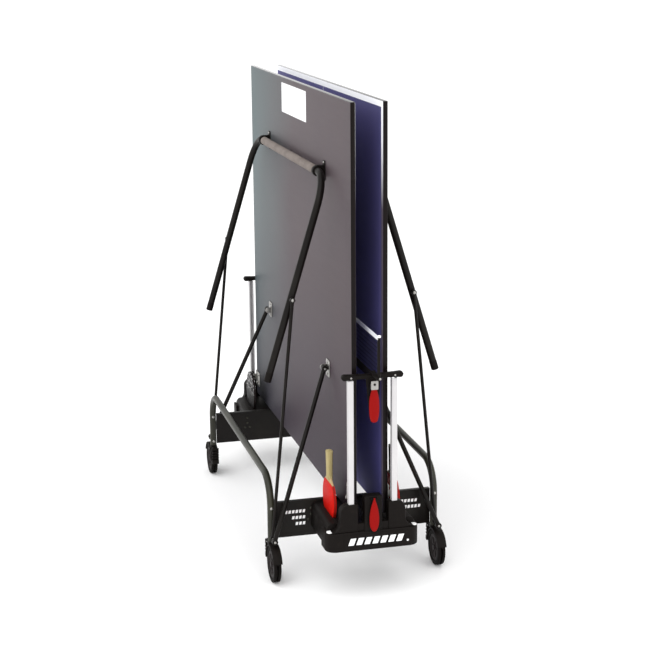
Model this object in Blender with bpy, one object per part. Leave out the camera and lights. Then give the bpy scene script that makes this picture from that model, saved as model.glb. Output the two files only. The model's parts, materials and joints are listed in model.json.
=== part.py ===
"""Folding roller table tennis table, modelled in its stored position.

Frame: origin on the floor under the middle of the table, +Z up, Y across the width of the
playing surface, X across the two halves. Metres. Each repeated piece is worked out once, in the
quarter where x and y are positive, and then mirrored into the quarters where the table has it.
"""

import math

import bmesh
import bpy
from mathutils import Vector

# Playing halves: 1.370 x 1.525 m each, 760 mm high in play.
BOARD_LENGTH = 1.370
BOARD_WIDTH = 1.525
BOARD_THICKNESS = 0.016
PLAY_HEIGHT = 0.760
EDGE_GAP = 0.004          # half the gap at the net, in play
FACE_X = 0.045            # playing face of a stored half
PIN_X = 0.074             # guide pin that each half turns on
PIN_Z = 0.345

# Under frame.
FIT_GAP = 0.0003          # gap between pieces that touch
TUBE_RADIUS = 0.0125
TUBE_WALL = 0.0015
BEND_RADIUS = 0.100
POST_X = 0.292
POST_Y = 0.550
POST_BOTTOM = 0.133
BAR_Z = 0.352
LOW_PIVOT_Z = 0.148       # bolt at the foot of a post: strut and arm
PLATE_Y = 0.545
PLATE_LOW = 0.138
PLATE_HIGH = 0.266
SHEET = 0.003

# Ends: housing, guide posts and yokes.
GUIDE_Y = 0.790
GUIDE_LOW = 0.300
GUIDE_HIGH = 0.7517
GUIDE_WIDTH = 0.018
GUIDE_DEPTH = 0.020
GUIDE_WALL = 0.0018
GUIDE_SLOT = 0.009
BLOCK_X = 0.160
BLOCK_FRONT = 0.808
BLOCK_LOW = 0.168
BLOCK_HIGH = 0.235
WALL_BACK = 0.770
WALL_FRONT = 0.806
EAR_TOP = 0.330
EAR_ROUND = 0.030
EAR_HOLLOW = 0.034
BODY_X = 0.150
BODY_HIGH = 0.257
BAT_SLOT_HALF = 0.066
YOKE_LOW = 0.752
YOKE_HIGH = 0.774
LEVER_Y = 0.8155
LEVER_LENGTH = 0.121
UPPER_LEVER_Z = 0.738
LOWER_LEVER_Z = 0.348

# Net.
NET_HEIGHT = 0.1525
NET_HALF_THICKNESS = 0.0008
NET_HALF_WIDTH = 0.8665
NET_POST_Y = 0.873
NET_POST_RADIUS = 0.006

# Legs, arms and struts.
LEG_X = 0.087             # axis of a leg frame's crossbar
LEG_Z = 1.385
LEG_Y = 0.545
LEG_TILT = math.radians(16.9)
ARM_RADIUS = 0.008
ARM_TOP_X = 0.076
ARM_TOP_Y = 0.4585
ARM_LOW_Y = 0.605
STRUT_RADIUS = 0.006
STRUT_Y = 0.570

# Castors with twin wheels.
WHEEL_RADIUS = 0.0625
WHEEL_WIDTH = 0.026
WHEEL_Y = 0.590
HOOD_RADIUS = 0.069
STEM_TOP = 0.150

# Bats and a bat cover.
BAT_X = 0.110
BAT_Y = 0.650
BAT_Z = 0.303
BAT_THICKNESS = 0.010
BLADE_HALF_WIDTH = 0.075
BLADE_HALF_HEIGHT = 0.0785
COVER_HALF_HEIGHT = 0.087
HANDLE_HALF = 0.0115
HANDLE_FOOT = 0.369
HANDLE_TOP = 0.476

COLOURS = {
    "board": ((0.13, 0.115, 0.12), 0.45, 0.0),
    "steel": ((0.012, 0.012, 0.011), 0.35, 0.2),
    "aluminium": ((0.80, 0.79, 0.79), 0.30, 0.9),
    "zinc": ((0.55, 0.55, 0.55), 0.35, 1.0),
    "plastic": ((0.014, 0.013, 0.013), 0.45, 0.0),
    "lever": ((0.46, 0.012, 0.012), 0.40, 0.0),
    "tread": ((0.020, 0.019, 0.019), 0.60, 0.0),
    "net": ((0.02, 0.02, 0.03), 0.80, 0.0),
    "bat": ((0.60, 0.030, 0.015), 0.60, 0.0),
    "cover": ((0.02, 0.02, 0.02), 0.55, 0.0),
}


# ---- Worked-out geometry -------------------------------------------------------------------

BOARD_LOW = PIN_Z - (PIN_X - EDGE_GAP)
UNDERSIDE_X = FACE_X + BOARD_THICKNESS
TRAVEL = PLAY_HEIGHT - (PIN_X - FACE_X) - PIN_Z
LEG_LENGTH = PLAY_HEIGHT - BOARD_THICKNESS - (LEG_X - UNDERSIDE_X)


def in_play(x, z):
    """Where a point of a stored half, or of a bracket on it, lies when the half is in play."""
    return PIN_X + (z - PIN_Z), PIN_Z + TRAVEL - (x - PIN_X)


def arm_top_height():
    """Height of an arm's upper pivot that keeps it the same distance from the low pivot
    stored and in play."""
    side = ARM_TOP_X - POST_X
    rise = PIN_Z - LOW_PIVOT_Z
    play_side = PIN_X - POST_X
    play_rise = in_play(ARM_TOP_X, PIN_Z)[1] - LOW_PIVOT_Z
    return PIN_Z + (play_side**2 + play_rise**2 - side**2 - rise**2) / (2 * (rise - play_side))


def strut_point_on_leg():
    """Distance along a leg, from its crossbar, of the strut's bolt that keeps the strut one
    length stored and in play."""
    stored = Vector((LEG_X - POST_X, LEG_Z - LOW_PIVOT_Z))
    play_x, play_z = in_play(LEG_X, LEG_Z)
    play = Vector((play_x - POST_X, play_z - LOW_PIVOT_Z))
    along = stored.x * math.sin(LEG_TILT) - stored.y * math.cos(LEG_TILT)
    return (play.length_squared - stored.length_squared) / (2 * (along + play.y))


ARM_TOP_Z = arm_top_height()
STRUT_REACH = strut_point_on_leg()
STRUT_TOP_X = LEG_X + STRUT_REACH * math.sin(LEG_TILT)
STRUT_TOP_Z = LEG_Z - STRUT_REACH * math.cos(LEG_TILT)
FOOT_X = LEG_X + LEG_LENGTH * math.sin(LEG_TILT)
FOOT_Z = LEG_Z - LEG_LENGTH * math.cos(LEG_TILT)


# ---- Shapes --------------------------------------------------------------------------------

def arc(centre, radius, start, end, steps):
    """Points on an arc of a circle, angles in degrees."""
    points = []
    for i in range(steps + 1):
        angle = math.radians(start + (end - start) * i / steps)
        points.append((centre[0] + radius * math.cos(angle), centre[1] + radius * math.sin(angle)))
    return points


def to_mesh(bm):
    bmesh.ops.recalc_face_normals(bm, faces=bm.faces)
    mesh = bpy.data.meshes.new("shape")
    bm.to_mesh(mesh)
    bm.free()
    return mesh


def prism(outline, axis, low, high):
    """An outline in the plane across an axis, carried along that axis from low to high. The
    outline's two coordinates are the other two axes, in X, Y, Z order."""
    index = "XYZ".index(axis)
    bm = bmesh.new()
    verts = []
    for a, b in outline:
        place = [a, b]
        place.insert(index, low)
        verts.append(bm.verts.new(place))
    face = bm.faces.new(verts)
    step = Vector((0, 0, 0))
    step[index] = high - low
    moved = bmesh.ops.extrude_face_region(bm, geom=[face])["geom"]
    corners = [item for item in moved if isinstance(item, bmesh.types.BMVert)]
    bmesh.ops.translate(bm, verts=corners, vec=step)
    return to_mesh(bm)


def block(low, high):
    outline = [(low[0], low[1]), (high[0], low[1]), (high[0], high[1]), (low[0], high[1])]
    return prism(outline, "Z", low[2], high[2])


def rod(axis, centre, radius, low, high, sides=14):
    """A round bar along an axis. Centre is its place on the other two axes."""
    return prism(arc(centre, radius, 0, 360, sides)[:-1], axis, low, high)


def tube(path, radius, sides=12, inner=None):
    """A round bar carried along a path of points, or a tube with open ends where inner is given."""
    path = [Vector(point) for point in path]
    bm = bmesh.new()
    last_side = Vector((1, 0, 0))
    skins = [[] for _ in range(2 if inner else 1)]
    for i, point in enumerate(path):
        before = path[max(i - 1, 0)]
        after = path[min(i + 1, len(path) - 1)]
        along = (after - before).normalized()
        side = (last_side - along * last_side.dot(along)).normalized()
        up = along.cross(side)
        last_side = side
        for skin, size in zip(skins, (radius, inner)):
            ring = []
            for k in range(sides):
                angle = 2 * math.pi * (k + 0.5) / sides
                ring.append(bm.verts.new(point + size * (math.cos(angle) * side + math.sin(angle) * up)))
            skin.append(ring)
    for skin in skins:
        for first, second in zip(skin, skin[1:]):
            for k in range(sides):
                n = (k + 1) % sides
                bm.faces.new((first[k], first[n], second[n], second[k]))
    for end in (0, -1):
        if inner:
            for k in range(sides):
                n = (k + 1) % sides
                bm.faces.new((skins[0][end][k], skins[0][end][n], skins[1][end][n], skins[1][end][k]))
        else:
            bm.faces.new(skins[0][end])
    return to_mesh(bm)


def turned(profile, centre):
    """A closed profile of (x, radius) points turned about the X axis through centre (y, z)."""
    steps = 20
    bm = bmesh.new()
    rings = []
    for k in range(steps):
        angle = 2 * math.pi * k / steps
        ring = []
        for x, radius in profile:
            y = centre[0] + radius * math.cos(angle)
            z = centre[1] + radius * math.sin(angle)
            ring.append(bm.verts.new((x, y, z)))
        rings.append(ring)
    for k in range(steps):
        ring = rings[k]
        following = rings[(k + 1) % steps]
        for i in range(len(profile) - 1):
            bm.faces.new((ring[i], ring[i + 1], following[i + 1], following[i]))
    bm.faces.new([ring[0] for ring in rings])
    bm.faces.new([ring[-1] for ring in rings])
    return to_mesh(bm)


def combine(mesh, operation, others):
    """The mesh after an exact union with the others, or with the others cut away."""
    target = bpy.data.objects.new("target", mesh)
    bpy.context.scene.collection.objects.link(target)
    helpers = []
    for other in others:
        helper = bpy.data.objects.new("helper", other)
        helper.hide_render = True
        helper.display_type = "WIRE"
        bpy.context.scene.collection.objects.link(helper)
        helpers.append(helper)
        step = target.modifiers.new(operation.lower(), "BOOLEAN")
        step.operation = operation
        step.solver = "EXACT"
        step.object = helper
    graph = bpy.context.evaluated_depsgraph_get()
    result = bpy.data.meshes.new_from_object(target.evaluated_get(graph))
    for item in [target] + helpers:
        bpy.data.objects.remove(item)
    return result


def union(mesh, *others):
    return combine(mesh, "UNION", others)


def cut(mesh, *others):
    return combine(mesh, "DIFFERENCE", others)


def finish_material(name, kind):
    colour, roughness, metallic = COLOURS[kind]
    material = bpy.data.materials.new(name)
    material.use_nodes = True
    shader = material.node_tree.nodes["Principled BSDF"]
    shader.inputs["Base Color"].default_value = (*colour, 1)
    shader.inputs["Roughness"].default_value = roughness
    shader.inputs["Metallic"].default_value = metallic
    material.diffuse_color = (*colour, 1)
    return material


def add(name, mesh, kind, side=(1, 1), origin=(0, 0, 0)):
    """Adds a named piece: the shape mirrored into its side (sign of x, sign of y), with its
    object's origin at a point of the unmirrored shape, such as its joint."""
    bm = bmesh.new()
    bm.from_mesh(mesh)
    for vert in bm.verts:
        vert.co = (
            (vert.co.x - origin[0]) * side[0],
            (vert.co.y - origin[1]) * side[1],
            vert.co.z - origin[2],
        )
    if side[0] * side[1] < 0:
        bmesh.ops.reverse_faces(bm, faces=bm.faces)
    piece_mesh = bpy.data.meshes.new(name)
    bm.to_mesh(piece_mesh)
    bm.free()
    piece_mesh.shade_smooth()
    piece_mesh.set_sharp_from_angle(angle=math.radians(35))
    piece_mesh.materials.clear()
    piece_mesh.materials.append(finish_material(name, kind))
    piece = bpy.data.objects.new(name, piece_mesh)
    piece.location = (origin[0] * side[0], origin[1] * side[1], origin[2])
    bpy.context.scene.collection.objects.link(piece)
    return piece


X_SIDES = {"left": -1, "right": 1}
Y_SIDES = {"near": -1, "far": 1}
QUARTERS = [(f"{x}_{y}", (X_SIDES[x], Y_SIDES[y])) for x in X_SIDES for y in Y_SIDES]


# ---- Fixed frame ---------------------------------------------------------------------------

def u_frame():
    """Bent tube with a post at each end of its bar, and the bolts that the struts turn on."""
    path = [(POST_X, -POST_Y, POST_BOTTOM)]
    centre_y = POST_Y - BEND_RADIUS
    centre_z = BAR_Z - BEND_RADIUS
    for y, z in arc((-centre_y, centre_z), BEND_RADIUS, 180, 90, 5):
        path.append((POST_X, y, z))
    for y, z in arc((centre_y, centre_z), BEND_RADIUS, 90, 0, 5):
        path.append((POST_X, y, z))
    path.append((POST_X, POST_Y, POST_BOTTOM))
    frame = tube(path, TUBE_RADIUS, 10, TUBE_RADIUS - TUBE_WALL)
    start = POST_Y + TUBE_RADIUS - 0.002
    end = STRUT_Y + STRUT_RADIUS - FIT_GAP
    place = (POST_X, LOW_PIVOT_Z)
    bolts = [rod("Y", place, 0.005, start, end, 10), rod("Y", place, 0.005, -end, -start, 10)]
    return union(frame, *bolts)


def end_plate():
    """Sheet-steel cross plate between the posts, with its top edge folded in."""
    outer = PLATE_Y + SHEET / 2
    inner = PLATE_Y - SHEET / 2
    lip = outer - 0.018
    outline = [
        (inner, PLATE_LOW),
        (outer, PLATE_LOW),
        (outer, PLATE_HIGH),
        (lip, PLATE_HIGH),
        (lip, PLATE_HIGH - SHEET),
        (inner, PLATE_HIGH - SHEET),
    ]
    reach = POST_X - TUBE_RADIUS - FIT_GAP
    return prism(outline, "X", -reach, reach)


def lever_mount(height):
    """Two ears and the pin between them that a release lever hangs on."""
    low = height - 0.006
    high = height + 0.006
    back = WALL_FRONT - 0.0005
    front = LEVER_Y + 0.005
    ears = [block((x - 0.0015, back, low), (x + 0.0015, front, high)) for x in (-0.0095, 0.0095)]
    return ears + [rod("X", (LEVER_Y, height), 0.002, -0.0095, 0.0095, 8)]


def housing_wall_outline():
    """Upright end wall: a middle column that holds the lower lever, and an ear under each
    guide post, with a slot either side of the column. An ear is bell-shaped: round at its
    shoulder and hollow where it runs down into the block."""
    half = [(0.030, LOWER_LEVER_Z + 0.007), (0.030, 0.262), (0.052, 0.262), (0.052, EAR_TOP)]
    half += arc((0.082, EAR_TOP - EAR_ROUND), EAR_ROUND, 90, 12, 4)
    half += arc((0.146, BLOCK_HIGH + 0.035), EAR_HOLLOW, 180, 262, 4)
    half.append((half[-1][0], BLOCK_HIGH - 0.010))
    return half + [(-x, z) for x, z in reversed(half)]


def end_housing():
    """Moulded end housing: the block across the end, the body back to the cross plate, the end
    wall with pockets for the guide posts, and two slots for bats."""
    corner = 0.034
    centre = (BLOCK_X - corner, BLOCK_FRONT - corner)
    back = WALL_BACK - 0.040
    half = [(BLOCK_X, back)] + arc(centre, corner, 0, 90, 5)
    block_outline = half + [(-x, y) for x, y in reversed(half)]
    base = prism(block_outline, "Z", BLOCK_LOW, BLOCK_HIGH)
    start = PLATE_Y + SHEET / 2 + FIT_GAP
    body = block((-BODY_X, start, BLOCK_LOW + 0.004), (BODY_X, WALL_BACK, BODY_HIGH))
    wall = prism(housing_wall_outline(), "Y", WALL_BACK, WALL_FRONT)
    shape = union(base, body, wall, *lever_mount(LOWER_LEVER_Z))
    cutters = []
    slot_half = BAT_THICKNESS / 2 + 0.0015
    for sign in (-1, 1):
        low_x = sign * PIN_X - GUIDE_WIDTH / 2 - FIT_GAP
        high_x = sign * PIN_X + GUIDE_WIDTH / 2 + FIT_GAP
        low_y = GUIDE_Y - GUIDE_DEPTH / 2 - FIT_GAP
        high_y = GUIDE_Y + GUIDE_DEPTH / 2 + FIT_GAP
        cutters.append(block((low_x, low_y, GUIDE_LOW - FIT_GAP), (high_x, high_y, EAR_TOP + 0.02)))
        low = (sign * BAT_X - slot_half, BAT_Y - BAT_SLOT_HALF, BAT_Z - 0.081)
        high = (sign * BAT_X + slot_half, BAT_Y + BAT_SLOT_HALF, BODY_HIGH + 0.02)
        cutters.append(block(low, high))
    return cut(shape, *cutters)


def guide_post():
    """Aluminium channel with a slot in the face towards the board, which its slider runs in."""
    x0 = PIN_X - GUIDE_WIDTH / 2
    x1 = PIN_X + GUIDE_WIDTH / 2
    y0 = GUIDE_Y - GUIDE_DEPTH / 2
    y1 = GUIDE_Y + GUIDE_DEPTH / 2
    s0 = PIN_X - GUIDE_SLOT / 2
    s1 = PIN_X + GUIDE_SLOT / 2
    t = GUIDE_WALL
    outline = [
        (s0, y0),
        (x0, y0),
        (x0, y1),
        (x1, y1),
        (x1, y0),
        (s1, y0),
        (s1, y0 + t),
        (x1 - t, y0 + t),
        (x1 - t, y1 - t),
        (x0 + t, y1 - t),
        (x0 + t, y0 + t),
        (s0, y0 + t),
    ]
    return prism(outline, "Z", GUIDE_LOW, GUIDE_HIGH)


def top_yoke():
    """Yoke over two guide posts, with the plate behind the upper lever, the lever's mount, and
    the arm and post that hold the net."""
    mid = (YOKE_LOW + YOKE_HIGH) / 2
    half_height = (YOKE_HIGH - YOKE_LOW) / 2
    right = arc((0.094, mid), half_height, -90, 90, 5)
    outline = [(-0.030, YOKE_LOW), (0.030, YOKE_LOW)] + right
    outline += [(0.030, YOKE_HIGH - 0.003), (-0.030, YOKE_HIGH - 0.003)]
    outline += [(-x, z) for x, z in reversed(right)]
    bar = prism(outline, "Y", GUIDE_Y - 0.013, WALL_FRONT)
    tongue_outline = [(-0.024, YOKE_LOW + 0.01), (0.024, YOKE_LOW + 0.01), (0.011, 0.612), (-0.011, 0.612)]
    tongue = prism(tongue_outline, "Y", WALL_FRONT - 0.006, WALL_FRONT)
    back = WALL_FRONT - 0.0004
    plate = block((-0.0125, back, UPPER_LEVER_Z - 0.008), (0.0125, WALL_FRONT + 0.003, UPPER_LEVER_Z + 0.026))
    arm_low = YOKE_HIGH - 0.006
    arm = block((-0.008, GUIDE_Y - 0.010, arm_low), (0.008, NET_POST_Y + 0.008, YOKE_HIGH + 0.006))
    top = PLAY_HEIGHT + NET_HEIGHT + 0.005
    post = rod("Z", (0, NET_POST_Y), NET_POST_RADIUS, YOKE_HIGH, top, 12)
    return union(bar, tongue, plate, arm, post, *lever_mount(UPPER_LEVER_Z))


def net():
    """Net sheet across the table, with its lower corners cut out over the yokes."""
    low = PLAY_HEIGHT - BOARD_THICKNESS + 0.002
    over = YOKE_HIGH + 0.008
    top = PLAY_HEIGHT + NET_HEIGHT
    inner = GUIDE_Y - 0.016
    half = [(inner, low), (inner, over), (NET_HALF_WIDTH, over), (NET_HALF_WIDTH, top)]
    outline = half + [(-y, z) for y, z in reversed(half)]
    return prism(outline, "X", -NET_HALF_THICKNESS, NET_HALF_THICKNESS)


def release_lever(height):
    """Drop-shaped pull lever that hangs from a pin at its top."""
    widest = 0.017
    bottom = height - LEVER_LENGTH + widest
    half = [(0.0055, height - 0.003), (0.009, height - 0.028), (0.0145, height - 0.062)]
    half += [(x, z) for x, z in arc((0, bottom), widest, 18, -90, 4)]
    outline = half + [(-x, z) for x, z in reversed(half[:-1])]
    grip = prism(outline, "Y", LEVER_Y - 0.0045, LEVER_Y + 0.0045)
    barrel = rod("X", (LEVER_Y, height), 0.005, -0.0065, 0.0065, 12)
    bore = rod("X", (LEVER_Y, height), 0.0026, -0.02, 0.02, 10)
    return cut(union(grip, barrel), bore)


# ---- Boards and what is fixed to them ------------------------------------------------------

def board():
    low = (FACE_X, -BOARD_WIDTH / 2, BOARD_LOW)
    high = (UNDERSIDE_X, BOARD_WIDTH / 2, BOARD_LOW + BOARD_LENGTH)
    return block(low, high)


def guide_bracket():
    """Bracket on a board's underside, with the lug past the board's edge that turns on the
    slider's pin."""
    inner = UNDERSIDE_X + FIT_GAP
    plate = block((inner, 0.700, PIN_Z - 0.030), (inner + SHEET, 0.768, PIN_Z + 0.030))
    half = 0.012
    outline = [(inner, PIN_Z - half)] + arc((PIN_X, PIN_Z), half, -90, 90, 6) + [(inner, PIN_Z + half)]
    lug = prism(outline, "Y", 0.7645, 0.768)
    hole = rod("Y", (PIN_X, PIN_Z), 0.004, 0.75, 0.78, 12)
    return cut(union(plate, lug), hole)


def slider():
    """Nylon block inside a guide post, with the pin that carries the board."""
    clear = 0.0005
    half_x = GUIDE_WIDTH / 2 - GUIDE_WALL - clear
    half_y = GUIDE_DEPTH / 2 - GUIDE_WALL - clear
    low = (PIN_X - half_x, GUIDE_Y - half_y, PIN_Z - 0.014)
    high = (PIN_X + half_x, GUIDE_Y + half_y, PIN_Z + 0.014)
    pin = rod("Y", (PIN_X, PIN_Z), 0.0035, 0.763, GUIDE_Y, 12)
    return union(block(low, high), pin)


def arm_bracket():
    """Plate on the underside with an ear and the pin that an arm's upper end turns on."""
    inner = UNDERSIDE_X + FIT_GAP
    plate = block((inner, 0.436, ARM_TOP_Z - 0.030), (inner + SHEET, 0.482, ARM_TOP_Z + 0.030))
    ear = block((inner, 0.440, ARM_TOP_Z - 0.011), (ARM_TOP_X + 0.010, 0.444, ARM_TOP_Z + 0.011))
    pin = rod("Y", (ARM_TOP_X, ARM_TOP_Z), 0.004, 0.442, 0.474, 12)
    return union(plate, ear, pin)


def leg_bracket():
    """Clamp block that holds a leg frame's crossbar off the underside and lets it turn."""
    inner = UNDERSIDE_X + FIT_GAP
    plate = block((inner, 0.414, LEG_Z - 0.034), (inner + SHEET, 0.442, LEG_Z + 0.034))
    web = block((inner, 0.418, LEG_Z - 0.016), (LEG_X, 0.438, LEG_Z + 0.016))
    ring = rod("Y", (LEG_X, LEG_Z), 0.0185, 0.418, 0.438, 16)
    hole = rod("Y", (LEG_X, LEG_Z), TUBE_RADIUS + 0.0006, 0.40, 0.45, 16)
    return cut(union(plate, web, ring), hole)


# ---- Folding members -----------------------------------------------------------------------

def leg_frame():
    """Bent tube, open at both feet: the crossbar that turns on the board, and a leg at each end."""
    down = Vector((math.sin(LEG_TILT), 0, -math.cos(LEG_TILT)))
    across = Vector((0, 1, 0))
    path = []
    for sign in (-1, 1):
        centre = Vector((LEG_X, sign * (LEG_Y - BEND_RADIUS), LEG_Z)) + down * BEND_RADIUS
        bend = []
        for step in range(6):
            angle = math.radians(90 * step / 5)
            bend.append(centre + BEND_RADIUS * (sign * across * math.cos(angle) - down * math.sin(angle)))
        foot = Vector((FOOT_X, sign * LEG_Y, FOOT_Z))
        if sign < 0:
            path += [foot] + bend
        else:
            path += list(reversed([foot] + bend))
    return tube(path, TUBE_RADIUS, 10, TUBE_RADIUS - TUBE_WALL)


def arm():
    """Bar from a board's underside, slanting out to the bolt at the foot of a post."""
    top = (ARM_TOP_X, ARM_TOP_Y, ARM_TOP_Z)
    low = (POST_X, ARM_LOW_Y, LOW_PIVOT_Z)
    bar = tube([top, low], ARM_RADIUS, 10)
    eye = rod("Y", (ARM_TOP_X, ARM_TOP_Z), 0.0108, ARM_TOP_Y - 0.010, ARM_TOP_Y + 0.010, 12)
    boss = rod("Y", (POST_X, LOW_PIVOT_Z), 0.0105, ARM_LOW_Y - 0.009, ARM_LOW_Y + 0.009, 12)
    bolt_start = STRUT_Y + STRUT_RADIUS + 0.0015
    bolt = rod("Y", (POST_X, LOW_PIVOT_Z), 0.005, bolt_start, ARM_LOW_Y, 8)
    bore = rod("Y", (ARM_TOP_X, ARM_TOP_Z), 0.0045, ARM_TOP_Y - 0.03, ARM_TOP_Y + 0.03, 10)
    return cut(union(bar, eye, boss, bolt), bore)


def strut():
    """Bar from the bolt at the foot of a post up to a leg."""
    path = [(POST_X, STRUT_Y, LOW_PIVOT_Z), (STRUT_TOP_X, STRUT_Y, STRUT_TOP_Z)]
    bar = tube(path, STRUT_RADIUS - 0.0002, 8)
    low_eye = rod("Y", (POST_X, LOW_PIVOT_Z), 0.009, STRUT_Y - 0.006, STRUT_Y + 0.006, 12)
    top_eye = rod("Y", (STRUT_TOP_X, STRUT_TOP_Z), 0.009, STRUT_Y - 0.006, STRUT_Y + 0.006, 12)
    bolt = rod("Y", (STRUT_TOP_X, STRUT_TOP_Z), 0.004, LEG_Y + TUBE_RADIUS + 0.001, STRUT_Y, 8)
    bore = rod("Y", (POST_X, LOW_PIVOT_Z), 0.0055, STRUT_Y - 0.02, STRUT_Y + 0.02, 10)
    return cut(union(bar, low_eye, top_eye, bolt), bore)


# ---- Castors -------------------------------------------------------------------------------

PEDAL_Y = 0.5135
PEDAL_Z = 0.122


def caster_fork():
    """Castor body: hood over both wheels, web between them, neck and swivel stem, and the lug
    and pin for the brake pedal."""
    centre = (WHEEL_Y, WHEEL_RADIUS)
    inner = WHEEL_RADIUS + 0.002
    hood_outline = arc(centre, HOOD_RADIUS, 12, 178, 8) + arc(centre, inner + 0.0012, 178, 12, 8)
    hood = prism(hood_outline, "X", POST_X - 0.016, POST_X + 0.016)
    web_outline = arc(centre, HOOD_RADIUS - 0.002, 14, 176, 8) + arc(centre, 0.026, 180, 360, 6)
    web = prism(web_outline, "X", POST_X - 0.0015, POST_X + 0.0015)
    neck = block((POST_X - 0.013, POST_Y - 0.016, 0.104), (POST_X + 0.013, POST_Y + 0.020, 0.1285))
    lug = block((POST_X - 0.0095, PEDAL_Y - 0.005, 0.1165), (POST_X + 0.0095, POST_Y, 0.1275))
    collar = rod("Z", (POST_X, POST_Y), 0.0125, 0.120, POST_BOTTOM - FIT_GAP, 14)
    stem = rod("Z", (POST_X, POST_Y), 0.0098, 0.125, STEM_TOP, 12)
    pin = rod("X", (PEDAL_Y, PEDAL_Z), 0.0025, POST_X - 0.0135, POST_X + 0.0135, 8)
    outside = union(neck, lug)
    outside = cut(outside, rod("X", centre, inner, POST_X - 0.03, POST_X + 0.03, 24))
    shape = union(hood, web, outside, collar, stem, pin)
    return cut(shape, rod("X", centre, 0.0127, POST_X - 0.03, POST_X + 0.03, 16))


def caster_wheel():
    """Twin wheels on one axle sleeve, turned about the axle."""
    half = WHEEL_WIDTH / 2
    side = [
        (half - 0.002, 0.012),
        (half - 0.002, 0.045),
        (half, 0.048),
        (half, WHEEL_RADIUS - 0.003),
        (half - 0.003, WHEEL_RADIUS),
        (0.002, WHEEL_RADIUS),
        (0.002, 0.012),
    ]
    profile = [(POST_X + x, radius) for x, radius in side]
    profile += [(POST_X - x, radius) for x, radius in reversed(side)]
    return turned(profile, (WHEEL_Y, WHEEL_RADIUS))


def brake_pedal():
    """Ribbed brake pedal that hangs beside the wheels from two cheeks."""
    plate_top = PEDAL_Z - 0.0100
    plate_low = 0.060
    outline = [(PEDAL_Y + 0.004, plate_low), (PEDAL_Y + 0.004, plate_top)]
    outline += [(PEDAL_Y - 0.001, plate_top)]
    ribs = 4
    pitch = (plate_top - plate_low) / ribs
    for i in range(ribs):
        high = plate_top - i * pitch
        outline += [(PEDAL_Y - 0.001, high - 0.35 * pitch), (PEDAL_Y - 0.004, high - 0.5 * pitch)]
        outline += [(PEDAL_Y - 0.004, high - 0.8 * pitch), (PEDAL_Y - 0.001, high - 0.95 * pitch)]
    outline += [(PEDAL_Y - 0.001, plate_low)]
    plate = prism(outline, "X", POST_X - 0.014, POST_X + 0.014)
    cheeks = []
    for low_x in (POST_X - 0.014, POST_X + 0.011):
        side = [(PEDAL_Y + 0.004, plate_top - 0.006)]
        side += arc((PEDAL_Y, PEDAL_Z), 0.0055, 0, 180, 5)
        side += [(PEDAL_Y - 0.001, plate_top - 0.006)]
        cheeks.append(prism(side, "X", low_x, low_x + 0.003))
    bore = rod("X", (PEDAL_Y, PEDAL_Z), 0.0031, POST_X - 0.03, POST_X + 0.03, 10)
    return cut(union(plate, *cheeks), bore)


# ---- Bats ----------------------------------------------------------------------------------

def oval(half_height, middle):
    """Flat oval with the blade's width and thickness, standing over the housing's slot."""
    outline = []
    for a, b in arc((0, 0), 1, 0, 360, 28)[:-1]:
        outline.append((BAT_Y + BLADE_HALF_WIDTH * a, middle + half_height * b))
    return prism(outline, "X", BAT_X - BAT_THICKNESS / 2, BAT_X + BAT_THICKNESS / 2)


def bat():
    """Bat stored blade down, with its blade in the housing's slot."""
    half = [(0.030, HANDLE_FOOT), (0.017, HANDLE_FOOT + 0.014), (0.0135, HANDLE_FOOT + 0.030)]
    half += [(0.0135, HANDLE_TOP - 0.035), (0.017, HANDLE_TOP)]
    outline = [(BAT_Y + y, z) for y, z in half] + [(BAT_Y - y, z) for y, z in reversed(half)]
    handle = prism(outline, "X", BAT_X - HANDLE_HALF, BAT_X + HANDLE_HALF)
    return union(oval(BLADE_HALF_HEIGHT, BAT_Z), handle)


def bat_cover():
    """Dark oval cover, a little taller than a blade and with no handle, in the same slot."""
    return oval(COVER_HALF_HEIGHT, BAT_Z - BLADE_HALF_HEIGHT + COVER_HALF_HEIGHT)


# ---- Assembly ------------------------------------------------------------------------------

def clear_scene():
    for item in list(bpy.data.objects):
        bpy.data.objects.remove(item)


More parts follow.
